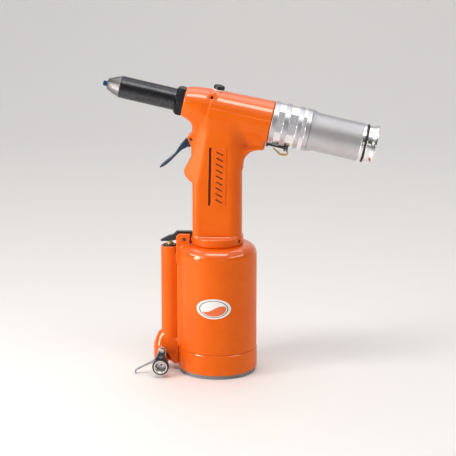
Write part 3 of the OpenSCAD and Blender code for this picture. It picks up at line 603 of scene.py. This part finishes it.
SLOT_LOOKS = {
    "orange_enamel": enamel("orange_enamel"),
    "black_oxide": turned_metal("black_oxide_steel", (0.055, 0.055, 0.062), 0.2, 700.0, 0.07,
                                (0.35, 0.35, 0.36)),
    "dark_steel": turned_metal("ground_dark_steel", (0.22, 0.21, 0.205), 0.26, 800.0, 0.15,
                               (0.7, 0.69, 0.67)),
    "bright_steel": brushed_metal("bright_steel", (0.62, 0.62, 0.64), 0.24, (0.85, 0.85, 0.85)),
    # the near-white edge colour is a painted highlight along the trigger's edges
    "chrome_trigger": brushed_metal("trigger_steel", (0.07, 0.1, 0.18), 0.2, (0.85, 0.87, 0.9),
                                    (1.0, 40.0, 1.0)),
    "nickel": brushed_metal("nickel_plate", (0.72, 0.71, 0.7), 0.17),
    "polished_aluminium": POLISHED,
    "satin_aluminium": turned_metal("satin_aluminium", (0.6, 0.59, 0.61), 0.36, 1100.0, 0.12),
    "brass": turned_metal("brass", (0.78, 0.55, 0.2), 0.24, 900.0, 0.1, tilt=False),
    "rubber": soft_rubber("black_rubber", (0.01, 0.01, 0.011), 0.5),
    "base_rubber": soft_rubber("grey_base_rubber", (0.3, 0.31, 0.33), 0.65),
    "black_enamel": BLACK_ENAMEL,
    "nylon_white": soft_rubber("white_nylon", (0.85, 0.85, 0.83), 0.4),
}


# ---- castings ----

def column(points, x, radius, low, high, rounding=0.5):
    """Upright round bar."""
    return rod(points, (x, 0, low), (x, 0, high), radius, rounding)


def crossbar(points, place, radius, low_y, high_y, rounding=0.3):
    """Round bar from side to side."""
    return rod(points, (place[0], low_y, place[1]), (place[0], high_y, place[1]), radius, rounding)


def keel_form(points):
    """The narrow keel under the round head: a tapered bar in section, cut to its side outline."""
    station, drop, side = head_coords(points)
    taper = (KEEL_TOP_R - KEEL_LOW_R) / KEEL_DROP
    lean = math.sqrt(1 - taper * taper)
    along = drop * lean - np.abs(side) * taper
    section = np.abs(side) * lean + drop * taper - KEEL_TOP_R
    section = np.where(along < 0, np.hypot(side, drop) - KEEL_TOP_R, section)
    section = np.where(along > lean * KEEL_DROP, np.hypot(side, drop - KEEL_DROP) - KEEL_LOW_R, section)
    fillet_r = 12.0
    sides = [(HANDLE_FRONT, 212), (HANDLE_BACK, 212)]
    sides += arc((HANDLE_BACK + fillet_r, 216), fillet_r, 180, 90)
    sides += [(46.3, 228), (70, 320), (HANDLE_FRONT, 320)]
    cut = outline(points[:, 0], points[:, 2], sides)
    ends = np.abs(station - (CASTING_REAR - 6) / 2) - (CASTING_REAR + 6) / 2
    return common(common(section, cut, 5.0), ends, 1.2)


def grip_facet(points):
    """Distance beyond the flat facets that narrow the grip toward its front; they widen toward the head."""
    x, y, z = points.T
    depth = np.interp(z, (150, 192, 245, 262), (4.8, 5.8, 15.5, 17.0))
    width = 0.55 * depth
    ahead = (HANDLE_FRONT + depth - x) / depth
    inward = (HANDLE_HALF_W - np.abs(y)) / width
    return (ahead - inward) / np.hypot(1 / depth, 1 / width)


def rear_fillet_form(points):
    """Wide fillet between the keel's underside and the handle's back."""
    fillet_r, low_z = 19.5, 209.5
    side = [(HANDLE_BACK - 6, low_z)] + arc((HANDLE_BACK + fillet_r, low_z), fillet_r, 180, 90, 24)
    side += [(HANDLE_BACK + fillet_r, 232), (HANDLE_BACK - 6, 232)]
    return plate(points, side, -9.5, 9.5, 5.0)


def handle_form(points):
    x, y, z = points.T
    middle, half = (HANDLE_FRONT + HANDLE_BACK) / 2, (HANDLE_BACK - HANDLE_FRONT) / 2
    ends, sides = np.abs(x - middle) - half, np.abs(y) - HANDLE_HALF_W
    section = np.where(x < middle, box2(ends, sides, 4.0), box2(ends, sides, 13.0))
    merge_drop = 8.0
    top = merge_drop - head_coords(points)[1]
    return common(section, np.maximum(top, COLLAR_TOP - 2 - z), 3.0)


def finger_rest_form(points):
    side = [(-12, 231), (-24.6, 226), (-25.4, 221.6)] + arc((-25.5, 206), 7.4, 150, 215, 8)
    side += [(-26.9, 197.2), (-24, 196.2), (-12, 194)]
    x, y, z = points.T
    plan = box2(np.abs(x + 12) - 22, np.abs(y) - 14.5, 8.0)
    return common(outline(x, z, side), plan, 3.0)


def trigger_mount_form(points):
    """Cheeks beside the trigger, and the hollow curve that joins them to the head."""
    cheeks = [(-12, 247.5), (-22.8, 247.5), (-25.8, 243.9), (-29.6, 240.8), (-27.6, 236.6), (-25.4, 231.7)]
    cheeks += [(-24.2, 226), (-12, 226)]
    throat = [(-12, 245), (-22.6, 245.5)] + arc((-34.4, 249.4), 11.8, -5, 62) + [(-32, 262.5), (-12, 270)]
    return join(plate(points, cheeks, -9.5, 9.5, 1.0), plate(points, throat, -11.5, 11.5, 4.0), 2.0)


def collar_form(points):
    z = points[:, 2]
    round_r = 26.0
    radial = np.hypot(points[:, 0], points[:, 1])
    middle, half = (COLLAR_TOP + CYLINDER_TOP) / 2, (COLLAR_TOP - CYLINDER_TOP) / 2
    rim = box2(radial - round_r, np.abs(z - middle) - half, 1.4)
    spigot = column(points, 0, SPIGOT_R, SPIGOT_FLOOR, CYLINDER_TOP + 2, 0.6)
    return np.minimum(rim, spigot)


HEAD_PROFILE = spline([(CASTING_FRONT, 14.6), (-28, 16.3), (-21, 17.6), (-12, 18.3), (5, 18.7),
                       (CASTING_REAR, 20.6)])
HEAD_BORES = ((CASTING_FRONT - 1, -23, 9.65), (-24, 37, 13.0), (36, 66, 15.1))
HANDLE_BORES = ((0, 8.0, SPIGOT_FLOOR, 268), (0, 12.5, SPIGOT_FLOOR - 1, SPIGOT_FLOOR + 18.2),
                (ROD_X, 2.3, COLLAR_TOP, COLLAR_TOP + 100))


def body_casting(points):
    """Head, handle and collar in one casting, with its bores and slots."""
    x, y, z = points.T
    grip = common(join(handle_form(points), finger_rest_form(points), 2.0), grip_facet(points), 1.2)
    shape = join(turned(points, HEAD_PROFILE, 1.0), keel_form(points), 3.0)
    shape = join(join(shape, grip, 7.0), rear_fillet_form(points), 5.0)
    shape = join(shape, trigger_mount_form(points), 3.0)
    shape = join(shape, collar_form(points), 2.5)
    shape = join(shape, crossbar(points, HANGER, 4.2, -14.2, 14.2, 0.8), 2.2)
    plug = head_point(PLUG_STATION)
    shape = join(shape, rod(points, plug, head_point(PLUG_STATION, -PLUG_SEAT), 7.6, 0.5), 2.0)

    for start, end, radius in HEAD_BORES:
        shape = carve(shape, rod(points, head_point(start), head_point(end), radius), 0.4)
    shape = carve(shape, rod(points, plug, head_point(PLUG_STATION, -30), 3.1), 0.4)
    for bore in HANDLE_BORES:
        shape = carve(shape, column(points, *bore), 0.4)
    shape = carve(shape, block(points, (-40, -4.2, 228.5), (-14, 4.2, 246.5)), 0.5)
    rocker_slot = block(points, (-40, -3.6, CYLINDER_TOP + 0.5), (-13.5, 3.6, CYLINDER_TOP + 15))
    shape = carve(shape, rocker_slot, 0.5)
    shape = carve(shape, crossbar(points, TRIGGER_PIVOT, PIN_R, -20, 20), 0.5)

    hanger_hole = np.maximum(np.hypot(x - HANGER[0], z - HANGER[1]) - PIN_R, 9.5 - np.abs(y))
    shape = carve(shape, hanger_hole, 0.7)
    across = x - GROOVE_X - GROOVE_LEAN * (z - GROOVE_Z)
    run = np.hypot(across, np.maximum(np.abs(z - GROOVE_Z) - GROOVE_HALF_LEN, 0)) - GROOVE_HALF_W
    groove = np.maximum(run, HANDLE_HALF_W - GROOVE_DEPTH - np.abs(y))
    shape = carve(shape, groove, 0.5)
    outside = (45 * math.cos(SET_SCREW_TURN), 45 * math.sin(SET_SCREW_TURN), SET_SCREW_Z)
    return carve(shape, rod(points, (0, 0, SET_SCREW_Z), outside, 2.05), 0.5)


def air_cylinder(points):
    """Air cylinder with its valve tube, the bell round the inlet and the rocker's ears."""
    x, y, z = points.T
    radial = np.hypot(x, y)
    shell = box2(radial - CYLINDER_R, z - CYLINDER_TOP, SHOULDER_R)
    shape = common(shell, SEAM - z, 0.8)
    tube = column(points, VALVE_X, 9.0, 20, 129, 1.0)
    web = np.minimum(block(points, (VALVE_X, -7, 26), (-34, 7, 121), 1.0),
                     block(points, (-40, -14, 26), (-32, 14, 114), 3.0))
    shape = join(shape, join(tube, web, 1.5), 2.2)

    bell_r, bell_rise = 10.3, 14.0
    bell_radial = np.hypot(x - INLET_X, y)
    bulge = bell_r - (bell_r - 5) * np.clip((z - 25) / bell_rise, 0, 1) ** 1.3
    bell = common(common(bell_radial - bulge, z - 39, 1.0), 5 - z, 1.2)
    bell = join(bell, block(points, (INLET_X + 4, -8, 6), (INLET_X + 20, 8, 32), 1.0), 1.5)
    shape = join(shape, bell, 3.0)

    ear = [(-41, 112)] + arc((-37, 138), 4.0, 180, 90, 6) + [(-27, 142), (-27, 112)]
    ears = np.minimum(plate(points, ear, -8.2, -3.2, 0.7), plate(points, ear, 3.2, 8.2, 0.7))
    shape = join(shape, np.minimum(ears, block(points, (-41, -8.2, 112), (-33, 8.2, 128), 1.0)), 1.0)

    roof = CYLINDER_TOP - 12
    shape = carve(shape, column(points, 0, CYLINDER_BORE_R, SEAM - 3, roof), 0.5)
    for bore in ((0, SPIGOT_R + 0.1, roof - 1, CYLINDER_TOP + 3), (VALVE_X, 5.05, 42, 140),
                 (VALVE_X, 7.0, 119, 131), (INLET_X, 7.6, 2, 21), (INLET_X, 5.05, 20, 35.5)):
        shape = carve(shape, column(points, *bore), 0.4)
    mouth = [(-8.3, -2), (-8.3, 12.5), (-1.5, 21.5), (2, 21.5), (10.2, 7), (10.2, -2)]
    mouth = [(INLET_X + dx, dz) for dx, dz in mouth]
    shape = carve(shape, plate(points, mouth, -22, 0, 0.5), 1.2)
    shape = carve(shape, crossbar(points, ROCKER_PIVOT, PIN_R, -12, 12), 0.5)
    shape = carve(shape, block(points, (-43, -3.2, 129), (-23, 3.2, 149)), 0.3)
    return carve(shape, column(points, 0, CYLINDER_R + 0.7, -1, SEAM), 0.3)


# ---- small moulded and machined pieces ----

def trigger_blade(points):
    """Curved channel: an outer skin with two side flanges, and a solid tongue round the pivot."""
    px, pz = TRIGGER_PIVOT
    outer = spline([(-31.2, 238.2), (-35.8, 233.2), (-39.8, 227.2), (-43.8, 221.8), (-52.8, 214.2),
                    (-57, 210.4)])
    inner = spline([(-57, 209), (-51.6, 211.6), (-45.4, 216.9), (-36.8, 225.8), (-33, 228.6),
                    (-30.6, 229.2)])
    blade = plate(points, outer + inner, -6, 6, 0.55)
    hollow = [(ox + 1.2, oz - 1.6) for ox, oz in outer[:-8]] + [(-29, 226), (-29, 236)]
    blade = carve(blade, plate(points, hollow, -4.4, 4.4, 0.4), 0.5)
    tongue = [(px - 6.5, pz - 1.5), (px - 2, pz + 3.2), (px + 2, pz + 3.2), (px + 3.6, pz + 1.7),
              (ROD_X, pz + 2.2), (ROD_X, pz - 2.2), (px + 3, pz - 3.9), (px - 1.5, pz - 8.5),
              (px - 6, pz - 9)]
    half_w = 3.9
    solid = plate(points, tongue, -half_w, half_w, 0.5)
    for place, radius in ((TRIGGER_PIVOT, 4.0), ((ROD_X, pz), 2.2)):
        solid = np.minimum(solid, crossbar(points, place, radius, -half_w, half_w, 0.4))
    shape = join(blade, solid, 1.0)
    shape = carve(shape, crossbar(points, TRIGGER_PIVOT, PIN_R + 0.05, -10, 10), 0.2)
    return carve(shape, block(points, (ROD_X - 2.8, -2.1, pz - 6), (ROD_X + 5.2, 2.1, pz + 8)), 0.2)


def rocker_arm(points):
    side = [(-13.8, 137), (-13.8, 140.2), (-20, 142), (-27, 143.8), (-41, 143.6), (-45, 140), (-50, 138.4),
            (-57.4, 134.4), (-56.8, 133.1), (-46, 133.7), (-40, 135), (-36, 132.6), (-30, 132.8),
            (-27.5, 137)]
    shape = plate(points, side, -2.8, 2.8, 0.6)
    shape = carve(shape, crossbar(points, ROCKER_PIVOT, PIN_R + 0.05, -5, 5), 0.2)
    return carve(shape, column(points, ROD_X, 2.1, 130, 150), 0.3)


def inlet_elbow(points):
    """Ball elbow under the valve tube, with its arm to the front and the post that carries the shut-off."""
    centre = (INLET_X, INLET_Z)
    arm_y, post_front, post_back = -27.3, -20.5, -13.5
    shape = np.linalg.norm(points - np.array([INLET_X, 0, INLET_Z]), axis=1) - 7.0
    shape = join(shape, column(points, INLET_X, 5.0, INLET_Z, 34.5, 0.5), 1.2)
    shape = join(shape, crossbar(points, centre, 5.6, arm_y, 0, 0.4), 1.2)
    post_low, post_high = (INLET_X - 4, post_front, INLET_Z), (INLET_X + 4, post_back, SHUTOFF_PIVOT[1])
    post = block(points, post_low, post_high, 0.6)
    boss = crossbar(points, SHUTOFF_PIVOT, 4.0, post_front, post_back, 0.4)
    shape = join(shape, np.minimum(post, boss), 1.0)
    shape = carve(shape, column(points, INLET_X, 2.5, INLET_Z, 45), 0.3)
    for place, radius, end_y in ((centre, 2.5, 0), (centre, 3.95, arm_y + 7), (SHUTOFF_PIVOT, 2.05, -11)):
        shape = carve(shape, crossbar(points, place, radius, -40, end_y), 0.3)
    groove = np.hypot(np.hypot(points[:, 0] - INLET_X, points[:, 1]) - 4.2, points[:, 2] - 29) - 0.85
    return carve(shape, groove, 0.1)


def clamp_nut(points):
    """Black nut with two round ears on top."""
    low_y, high_y = -37.3, -33.3
    shape = crossbar(points, (INLET_X, INLET_Z), 8.4, low_y, high_y, 0.7)
    for dx, radius in ((-3.2, 2.1), (3.0, 2.6)):
        ear = crossbar(points, (INLET_X + dx, INLET_Z + 8.2), radius, low_y + 0.5, high_y - 0.5, 0.5)
        shape = join(shape, ear, 0.8)
    return carve(shape, crossbar(points, (INLET_X, INLET_Z), 6.85, -40, -20), 0.3)


def shutoff_handle(points):
    """Strip lever that narrows to a bent wire end."""
    side = [(2.2, 2.9), (2.9, 0.6), (2.4, -1.6), (0.6, -3.2), (-6.6, -10.2), (-24.9, -19.6), (-25.8, -22.8),
            (-27.2, -22.6), (-26.4, -18.6), (-8.8, -8.6), (-2.6, 2.4)]
    pivot_x, pivot_z = SHUTOFF_PIVOT
    side = spline([(pivot_x + dx, pivot_z + dz) for dx, dz in side], closed=True, per_span=4)
    front_y, back_y = -24.3, -21.7
    shape = plate(points, side, front_y, back_y, 0.5)
    shape = join(shape, crossbar(points, SHUTOFF_PIVOT, 3.0, front_y, back_y, 0.4), 0.5)
    return carve(shape, crossbar(points, SHUTOFF_PIVOT, 2.02, -40, 0), 0.2)


def vent_lever(points):
    """Brass thumb lever: an eye on the hinge, and a strip bent back under itself to a pointed end."""
    pin_drop, pin_station = 23.9, 74.9
    strip = [(23.2, 76.2), (27.8, 78.3), (29.6, 77.3), (30.9, 71.4), (30.4, 69.6), (25.4, 61.7),
             (25, 62.3), (28.9, 69.9), (29.4, 71.4), (28.4, 76), (27.5, 76.8), (25.2, 75.6)]
    station, drop, across = head_coords(points)
    from_pin = np.hypot(drop - pin_drop, station - pin_station)
    flat = join(outline(drop, station, strip), from_pin - 1.7, 0.6)
    shape = box2(flat, np.abs(across) - 2.6, 0.3)
    return carve(shape, from_pin - 0.85, 0.1)


def grip_panel(points):
    """Raised panel on each side of the handle, with nine slanting ribs."""
    x, y, z = points.T
    middle_x, middle_z, half_w, half_len = 3.0, 202.7, 7, 29
    u, v = x - middle_x - GROOVE_LEAN * (z - middle_z), z - middle_z
    face, rib_face = HANDLE_HALF_W + 0.6, HANDLE_HALF_W + 1.15
    deep = np.maximum(np.abs(y) - face, HANDLE_HALF_W - np.abs(y))
    shape = common(box2(np.abs(u) - half_w, np.abs(v) - half_len, 1.5), deep, 0.4)
    pitch, slant, rib_half_len, rib_half_w = 6.0, math.radians(28), 3.4, 0.6
    place = v + u * math.tan(slant)
    nearest = place - pitch * np.clip(np.round(place / pitch), -4, 4)
    rib = box2(np.abs(u) - rib_half_len, np.abs(nearest) * math.cos(slant) - rib_half_w, 0.5)
    rib = common(rib, np.maximum(np.abs(y) - rib_face, HANDLE_HALF_W - np.abs(y)), 0.4)
    return join(shape, rib, 0.3)


def upright(place):
    """Lathe frame about the cylinder's own axis."""
    return np.array([0.0, 0.0, place]), np.array([1.0, 0.0, 0.0]), np.array([0.0, 1.0, 0.0])


def along_inlet(place):
    """Lathe frame about the air inlet's axis; places are distances from its open face."""
    face_y = -38.0
    centre = np.array([INLET_X, face_y + place, INLET_Z])
    return centre, np.array([0.0, 0.0, 1.0]), np.array([1.0, 0.0, 0.0])


def up_from_head(place):
    """Lathe frame of the oil plug, which stands square on the head."""
    return head_point(PLUG_STATION, -place), HEAD_AXIS, HEAD_SIDE


def chamfered(profile, size):
    """Cuts each sharp corner of a closed (place, radius) outline."""
    pts = [np.array(p, float) for p in profile]
    out = []
    for i, here in enumerate(pts):
        before, after = pts[i - 1], pts[(i + 1) % len(pts)]
        back, ahead = before - here, after - here
        back_len, ahead_len = np.linalg.norm(back), np.linalg.norm(ahead)
        cut = min(size, 0.3 * back_len, 0.3 * ahead_len)
        bend = np.dot(back, ahead) / (back_len * ahead_len)
        if bend < -0.9:
            out.append(tuple(here))
        else:
            first, last = here + back / back_len * cut, here + ahead / ahead_len * cut
            out += [tuple(first), tuple((first + last + 0.8 * here) / 2.8), tuple(last)]
    return out


def head_turning(name, profile, size, sides=96):
    return lathe(name, chamfered(profile, size), on_head_axis, sides)


MOULDINGS = (
    ("main_casting", body_casting, 0.7, "body_casting", GRIP_ENAMEL),
    ("cylinder_casting", air_cylinder, 0.8, "air_cylinder", None),
    ("trigger_lever", trigger_blade, 0.4, "trigger", None),
    ("rocker_lever", rocker_arm, 0.4, "valve_rocker", None),
    ("air_elbow", inlet_elbow, 0.4, "inlet_elbow", None),
    ("clamp_ring_nut", clamp_nut, 0.4, "inlet_nut", BLACK_ENAMEL),
    ("shutoff_strip", shutoff_handle, 0.3, "shutoff_lever", LEVER_STEEL),
    ("vent_thumb_lever", vent_lever, 0.35, "vacuum_valve_lever", None),
    ("side_grips", grip_panel, 0.4, "grip_panels", RIB_ENAMEL),
)
for name, shape, step, node, material in MOULDINGS:
    put(moulded(name, shape, node, step), node, material)


# ---- turned pieces ----

PAD_TOP = 4.0
cap_outline = [(6, 0), (6, 20.1), (PAD_TOP, 20.1), (PAD_TOP, CYLINDER_R + 0.4), (SEAM, CYLINDER_R + 0.4),
               (SEAM, CYLINDER_BORE_R - 0.1), (26.9, CYLINDER_BORE_R - 0.1), (26.9, 31.8), (29.1, 31.8),
               (29.1, CYLINDER_BORE_R - 0.1), (32, CYLINDER_BORE_R - 0.1), (32, 27), (10, 27), (10, 0)]
put(lathe("end_cap", chamfered(cap_outline, 0.8), upright, 160), "cylinder_cap")

foot_r = CYLINDER_R - 1.2
foot_outline = [(0, 0), (0, foot_r), (1.5, foot_r), (1.5, foot_r - 0.6), (2.3, foot_r - 0.6), (2.3, foot_r),
                (PAD_TOP, foot_r), (PAD_TOP, 20), (6, 20), (6, 0)]
put(lathe("base_foot", chamfered(foot_outline, 0.4), upright, 160), "base_pad")

tip_outline = [(TIP, 1.7), (TIP, 2.1), (TIP + 1, 2.6), (NOSE_FACE, 2.6), (NOSE_FACE, 4), (NOSE_FACE + 9, 4),
               (NOSE_FACE + 11.6, 2.4), (NOSE_FACE + 11.6, 1.7)]
put(head_turning("nose_tip", tip_outline, 0.2, 48), "nosepiece", TIP_STEEL)

cone_outline = [(NOSE_FACE, 4.05), (NOSE_FACE, 5.3), (NOSE_FACE + 7, 8.6), (CONE_END, BARREL_R - 0.2),
                (CONE_END, 9.2), (CONE_END + 10, 9.2), (CONE_END + 10, 7.9), (CONE_END - 0.1, 7.9),
                (NOSE_FACE + 9.5, 4.05)]
put(head_turning("nose_bell", cone_outline, 0.5), "nose_cone")

barrel_outline = [(CONE_END, 9.25), (CONE_END, BARREL_R), (BARREL_END, BARREL_R), (BARREL_END, 9.6),
                  (GLAND_FRONT, 9.6), (GLAND_FRONT, 8.2), (CONE_END + 11, 8.2), (CONE_END + 11, 9.25)]
put(head_turning("barrel_sleeve", barrel_outline, 0.6), "barrel")

NUT_CORNER_R = 15.4


def hexagon(place, radius, angle):
    """Six flats, and a cone that takes the corners off both ends."""
    if radius < 10:
        return radius
    sector = (angle + math.pi / 6) % (math.pi / 3) - math.pi / 6
    flat = NUT_CORNER_R * math.cos(math.pi / 6) / math.cos(sector)
    front_cone = 12.6 + (place - BARREL_END) * 0.95
    rear_cone = 14.0 + (CASTING_FRONT - place) * 1.7
    return min(flat, front_cone, rear_cone)


nut_stations = np.linspace(BARREL_END, CASTING_FRONT, 28)
nut_outline = [(BARREL_END, 9.7)] + [(float(s), NUT_CORNER_R) for s in nut_stations] + [(CASTING_FRONT, 9.7)]
put(lathe("hex_lock_nut", nut_outline, on_head_axis, flats=hexagon), "lock_nut", NUT_STEEL)

RING_GROOVES = ((5.0, 11.5), (16.5, 25.0), (29.5, 33.5))
RING_GROOVE_R = RING_R - 0.8
ring_outline = [(RING_START, 17.05), (RING_START, RING_R)]
for start, end in RING_GROOVES:
    ring_outline += [(RING_START + start, RING_R), (RING_START + start, RING_GROOVE_R)]
    ring_outline += [(RING_START + end, RING_GROOVE_R), (RING_START + end, RING_R)]
ring_outline += [(RING_END, RING_R), (RING_END, 15.3), (RING_END - 2, 15.3), (RING_END - 2, 17.05)]


def groove_flats(place, radius, angle):
    """Twelve flats on the floor of each groove, and round everywhere else."""
    if abs(radius - RING_GROOVE_R) > 0.05:
        return radius
    sector = (angle + math.pi / 12) % (math.pi / 6) - math.pi / 12
    return radius * math.cos(math.pi / 12) / math.cos(sector)


def refinish(piece, material, chosen):
    """Gives a second material to the faces whose middle's (station, radius) is chosen."""
    mesh = piece.data
    mesh.materials.append(material)
    for polygon in mesh.polygons:
        station, drop, side = head_coords(np.array(polygon.center) / MM)
        if chosen(station, math.hypot(drop, side)):
            polygon.material_index = 1


ring = lathe("shift_ring", chamfered(ring_outline, 0.35), on_head_axis, 144, groove_flats)
put(ring, "vacuum_ring")
refinish(ring, SATIN_RIDGE, lambda station, radius: radius > RING_R - 0.3)

band_start = TUBE_END - 3.5
tube_outline = [(TUBE_START - 14, 12.6), (TUBE_START - 14, 14.75), (TUBE_START, 14.75),
                (TUBE_START, RING_R - 0.4), (TUBE_START + 0.8, RING_R - 0.6), (TUBE_START + 6, COLLECTOR_R),
                (band_start, COLLECTOR_R), (band_start + 0.3, COLLECTOR_R - 0.25),
                (band_start + 0.6, COLLECTOR_R), (TUBE_END, COLLECTOR_R), (TUBE_END, COLLECTOR_R - 1.6),
                (TUBE_START + 2, COLLECTOR_R - 1.6), (TUBE_START + 2, 12.6)]
tube = head_turning("mandrel_tube", tube_outline, 0.5)
put(tube, "collector_tube")
refinish(tube, POLISHED, lambda station, radius: station > band_start)

lip_r = RING_R - 0.9
cap_lathe = [(CAP_START - 8, 15.35), (CAP_START - 8, 17.35), (CAP_START, 17.35),
             (CAP_START, COLLECTOR_R - 0.3), (CAP_START + 5, COLLECTOR_R - 0.3), (CAP_START + 7.8, lip_r),
             (CAP_END, lip_r), (CAP_END, 16.45), (CAP_START + 7, 14), (CAP_START + 7, 0), (CAP_START + 1, 0),
             (CAP_START + 1, 15.35)]
put(head_turning("mandrel_cap", cap_lathe, 0.45), "collector_cap")

seal_low, seal_high = COLLECTOR_R - 1.6, COLLECTOR_R + 0.1
seal_outline = [(148.5, seal_low), (148.5, seal_high), (150.2, seal_high), (150.2, seal_low)]
put(head_turning("end_o_ring", seal_outline, 0.45), "cap_o_ring")

plug_top = PLUG_SEAT + 5.0
dome = [(plug_top - 1.9 + 1.9 * math.sin(a), 3.6 + 1.9 * math.cos(a)) for a in np.radians(range(0, 91, 15))]
plug_outline = [(14, 0), (14, 3), (PLUG_SEAT + 0.9, 3), (PLUG_SEAT + 0.9, 5.5)] + dome
plug_outline += [(plug_top, 2.0), (plug_top - 1.8, 1.8), (plug_top - 1.8, 0)]
put(lathe("oil_screw", chamfered(plug_outline, 0.2), up_from_head, 48), "oil_plug")
washer_outline = [(PLUG_SEAT, 3.1), (PLUG_SEAT, 7), (PLUG_SEAT + 0.9, 7), (PLUG_SEAT + 0.9, 3.1)]
put(lathe("nylon_washer", chamfered(washer_outline, 0.3), up_from_head, 64), "oil_plug_washer")

THREAD_R, THREAD_PITCH, THREAD_LEN = 5.7, 1.41, 8.5
thread = []
for turn in range(6):
    thread += [(turn * THREAD_PITCH + 0.1, THREAD_R), (turn * THREAD_PITCH + 0.8, THREAD_R - 0.55)]
connector_outline = [(16.7, 2.5), (16.7, 3.9), (10.4, 3.9), (10.4, 6.8), (0, 6.8)] + thread
connector_outline += [(THREAD_LEN, THREAD_R - 0.3), (THREAD_LEN, 5.0), (9.3, 5.0), (9.3, 2.5)]
put(lathe("swivel_connector", connector_outline, along_inlet, 64), "inlet_connector")

# ---- whatever the CAD shape is right for keeps it, with its own finish ----

badge_low, badge_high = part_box("oval_badge")
badge_half = (badge_high - badge_low) / 2
SLOT_LOOKS["badge"] = badge_print("badge_print", (badge_low + badge_high) / 2, badge_half.x, badge_half.z)
for node, slot_name in SLOT_OF.items():
    for slot in frame["nodes"][node].material_slots:
        slot.material = SLOT_LOOKS[slot_name]

# ---- studio ----

def studio_sweep(half_width, front, back, sweep_r, height):
    """Floor that curves up into a backdrop."""
    section = [(front, 0.0), (back, 0.0)]
    section += [(back + y, sweep_r + z) for y, z in arc((0, 0), sweep_r, -90, 0, 16)[1:]]
    section.append((back + sweep_r, height))
    verts = [(x, y, z) for y, z in section for x in (-half_width, half_width)]
    faces = [(2 * i, 2 * i + 1, 2 * i + 3, 2 * i + 2) for i in range(len(section) - 1)]
    mesh = bpy.data.meshes.new("floor")
    mesh.from_pydata(verts, [], faces)
    mesh.shade_smooth()
    sweep = bpy.data.objects.new("floor", mesh)
    bpy.context.scene.collection.objects.link(sweep)
    mesh.materials.append(pale_floor("studio_floor"))


studio_sweep(half_width=12.0, front=-12.0, back=1.2, sweep_r=0.8, height=3.5)


def aimed(obj, place, target):
    obj.location = place
    obj.rotation_euler = (Vector(target) - Vector(place)).to_track_quat("-Z", "Y").to_euler()
    bpy.context.scene.collection.objects.link(obj)


def soft_light(name, place, target, size, power, colour):
    light = bpy.data.lights.new(name, "AREA")
    light.shape = "RECTANGLE"
    light.size, light.size_y = size
    light.energy = power
    light.color = colour
    holder = bpy.data.objects.new(name, light)
    holder.visible_camera = False
    aimed(holder, place, target)


WARM = (1.0, 0.96, 0.9)
MIDDLE = (0.01, 0.0, 0.15)
for name, place, size, power in (
        ("key_light", (-0.62, -0.38, 0.26), (0.2, 0.5), 2.7),
        ("fill_light", (0.4, -1.6, 0.5), (1.0, 0.2), 1.0),
        ("left_bar", (-1.1, -0.45, 0.85), (1.2, 0.24), 4.0),
        ("right_bar", (1.1, -0.45, 0.85), (1.2, 0.24), 2.8),
        ("top_light", (0.0, -0.35, 1.2), (0.9, 0.35), 5.0)):
    soft_light(name, place, MIDDLE, size, power, WARM)
soft_light("floor_light", (0.0, 0.9, 2.2), (0.0, 0.9, 0.0), (3.0, 1.6), 17.0, (1.0, 1.0, 1.0))


def studio_world(horizon, zenith):
    """Surroundings that are dark at eye level and bright overhead."""
    world = bpy.data.worlds.new("studio")
    world.use_nodes = True
    tree = world.node_tree
    background = tree.nodes["Background"]
    background.inputs["Color"].default_value = (0.93, 0.95, 1.0, 1.0)
    coords = tree.nodes.new("ShaderNodeTexCoord")
    axes = tree.nodes.new("ShaderNodeSeparateXYZ")
    rise = tree.nodes.new("ShaderNodeMapRange")
    for socket, value in (("From Min", 0.45), ("From Max", 0.95), ("To Min", horizon), ("To Max", zenith)):
        rise.inputs[socket].default_value = value
    tree.links.new(coords.outputs["Generated"], axes.inputs["Vector"])
    tree.links.new(axes.outputs["Z"], rise.inputs["Value"])
    tree.links.new(rise.outputs["Result"], background.inputs["Strength"])
    bpy.context.scene.world = world


studio_world(horizon=0.04, zenith=0.6)
bpy.context.scene.view_settings.view_transform = "Standard"

CAMERA_TURN, CAMERA_RISE, CAMERA_AWAY = math.radians(4.0), math.radians(13.8), 1.853
AIM = (0.0106, 0.0, 0.1473)
lens = bpy.data.cameras.new("photo_view")
lens.lens = 146.0
lens.sensor_width = 36.0
camera = bpy.data.objects.new("photo_view", lens)
away = (math.sin(CAMERA_TURN) * math.cos(CAMERA_RISE), -math.cos(CAMERA_TURN) * math.cos(CAMERA_RISE),
        math.sin(CAMERA_RISE))
aimed(camera, [a + CAMERA_AWAY * d for a, d in zip(AIM, away)], AIM)
bpy.context.scene.camera = camera
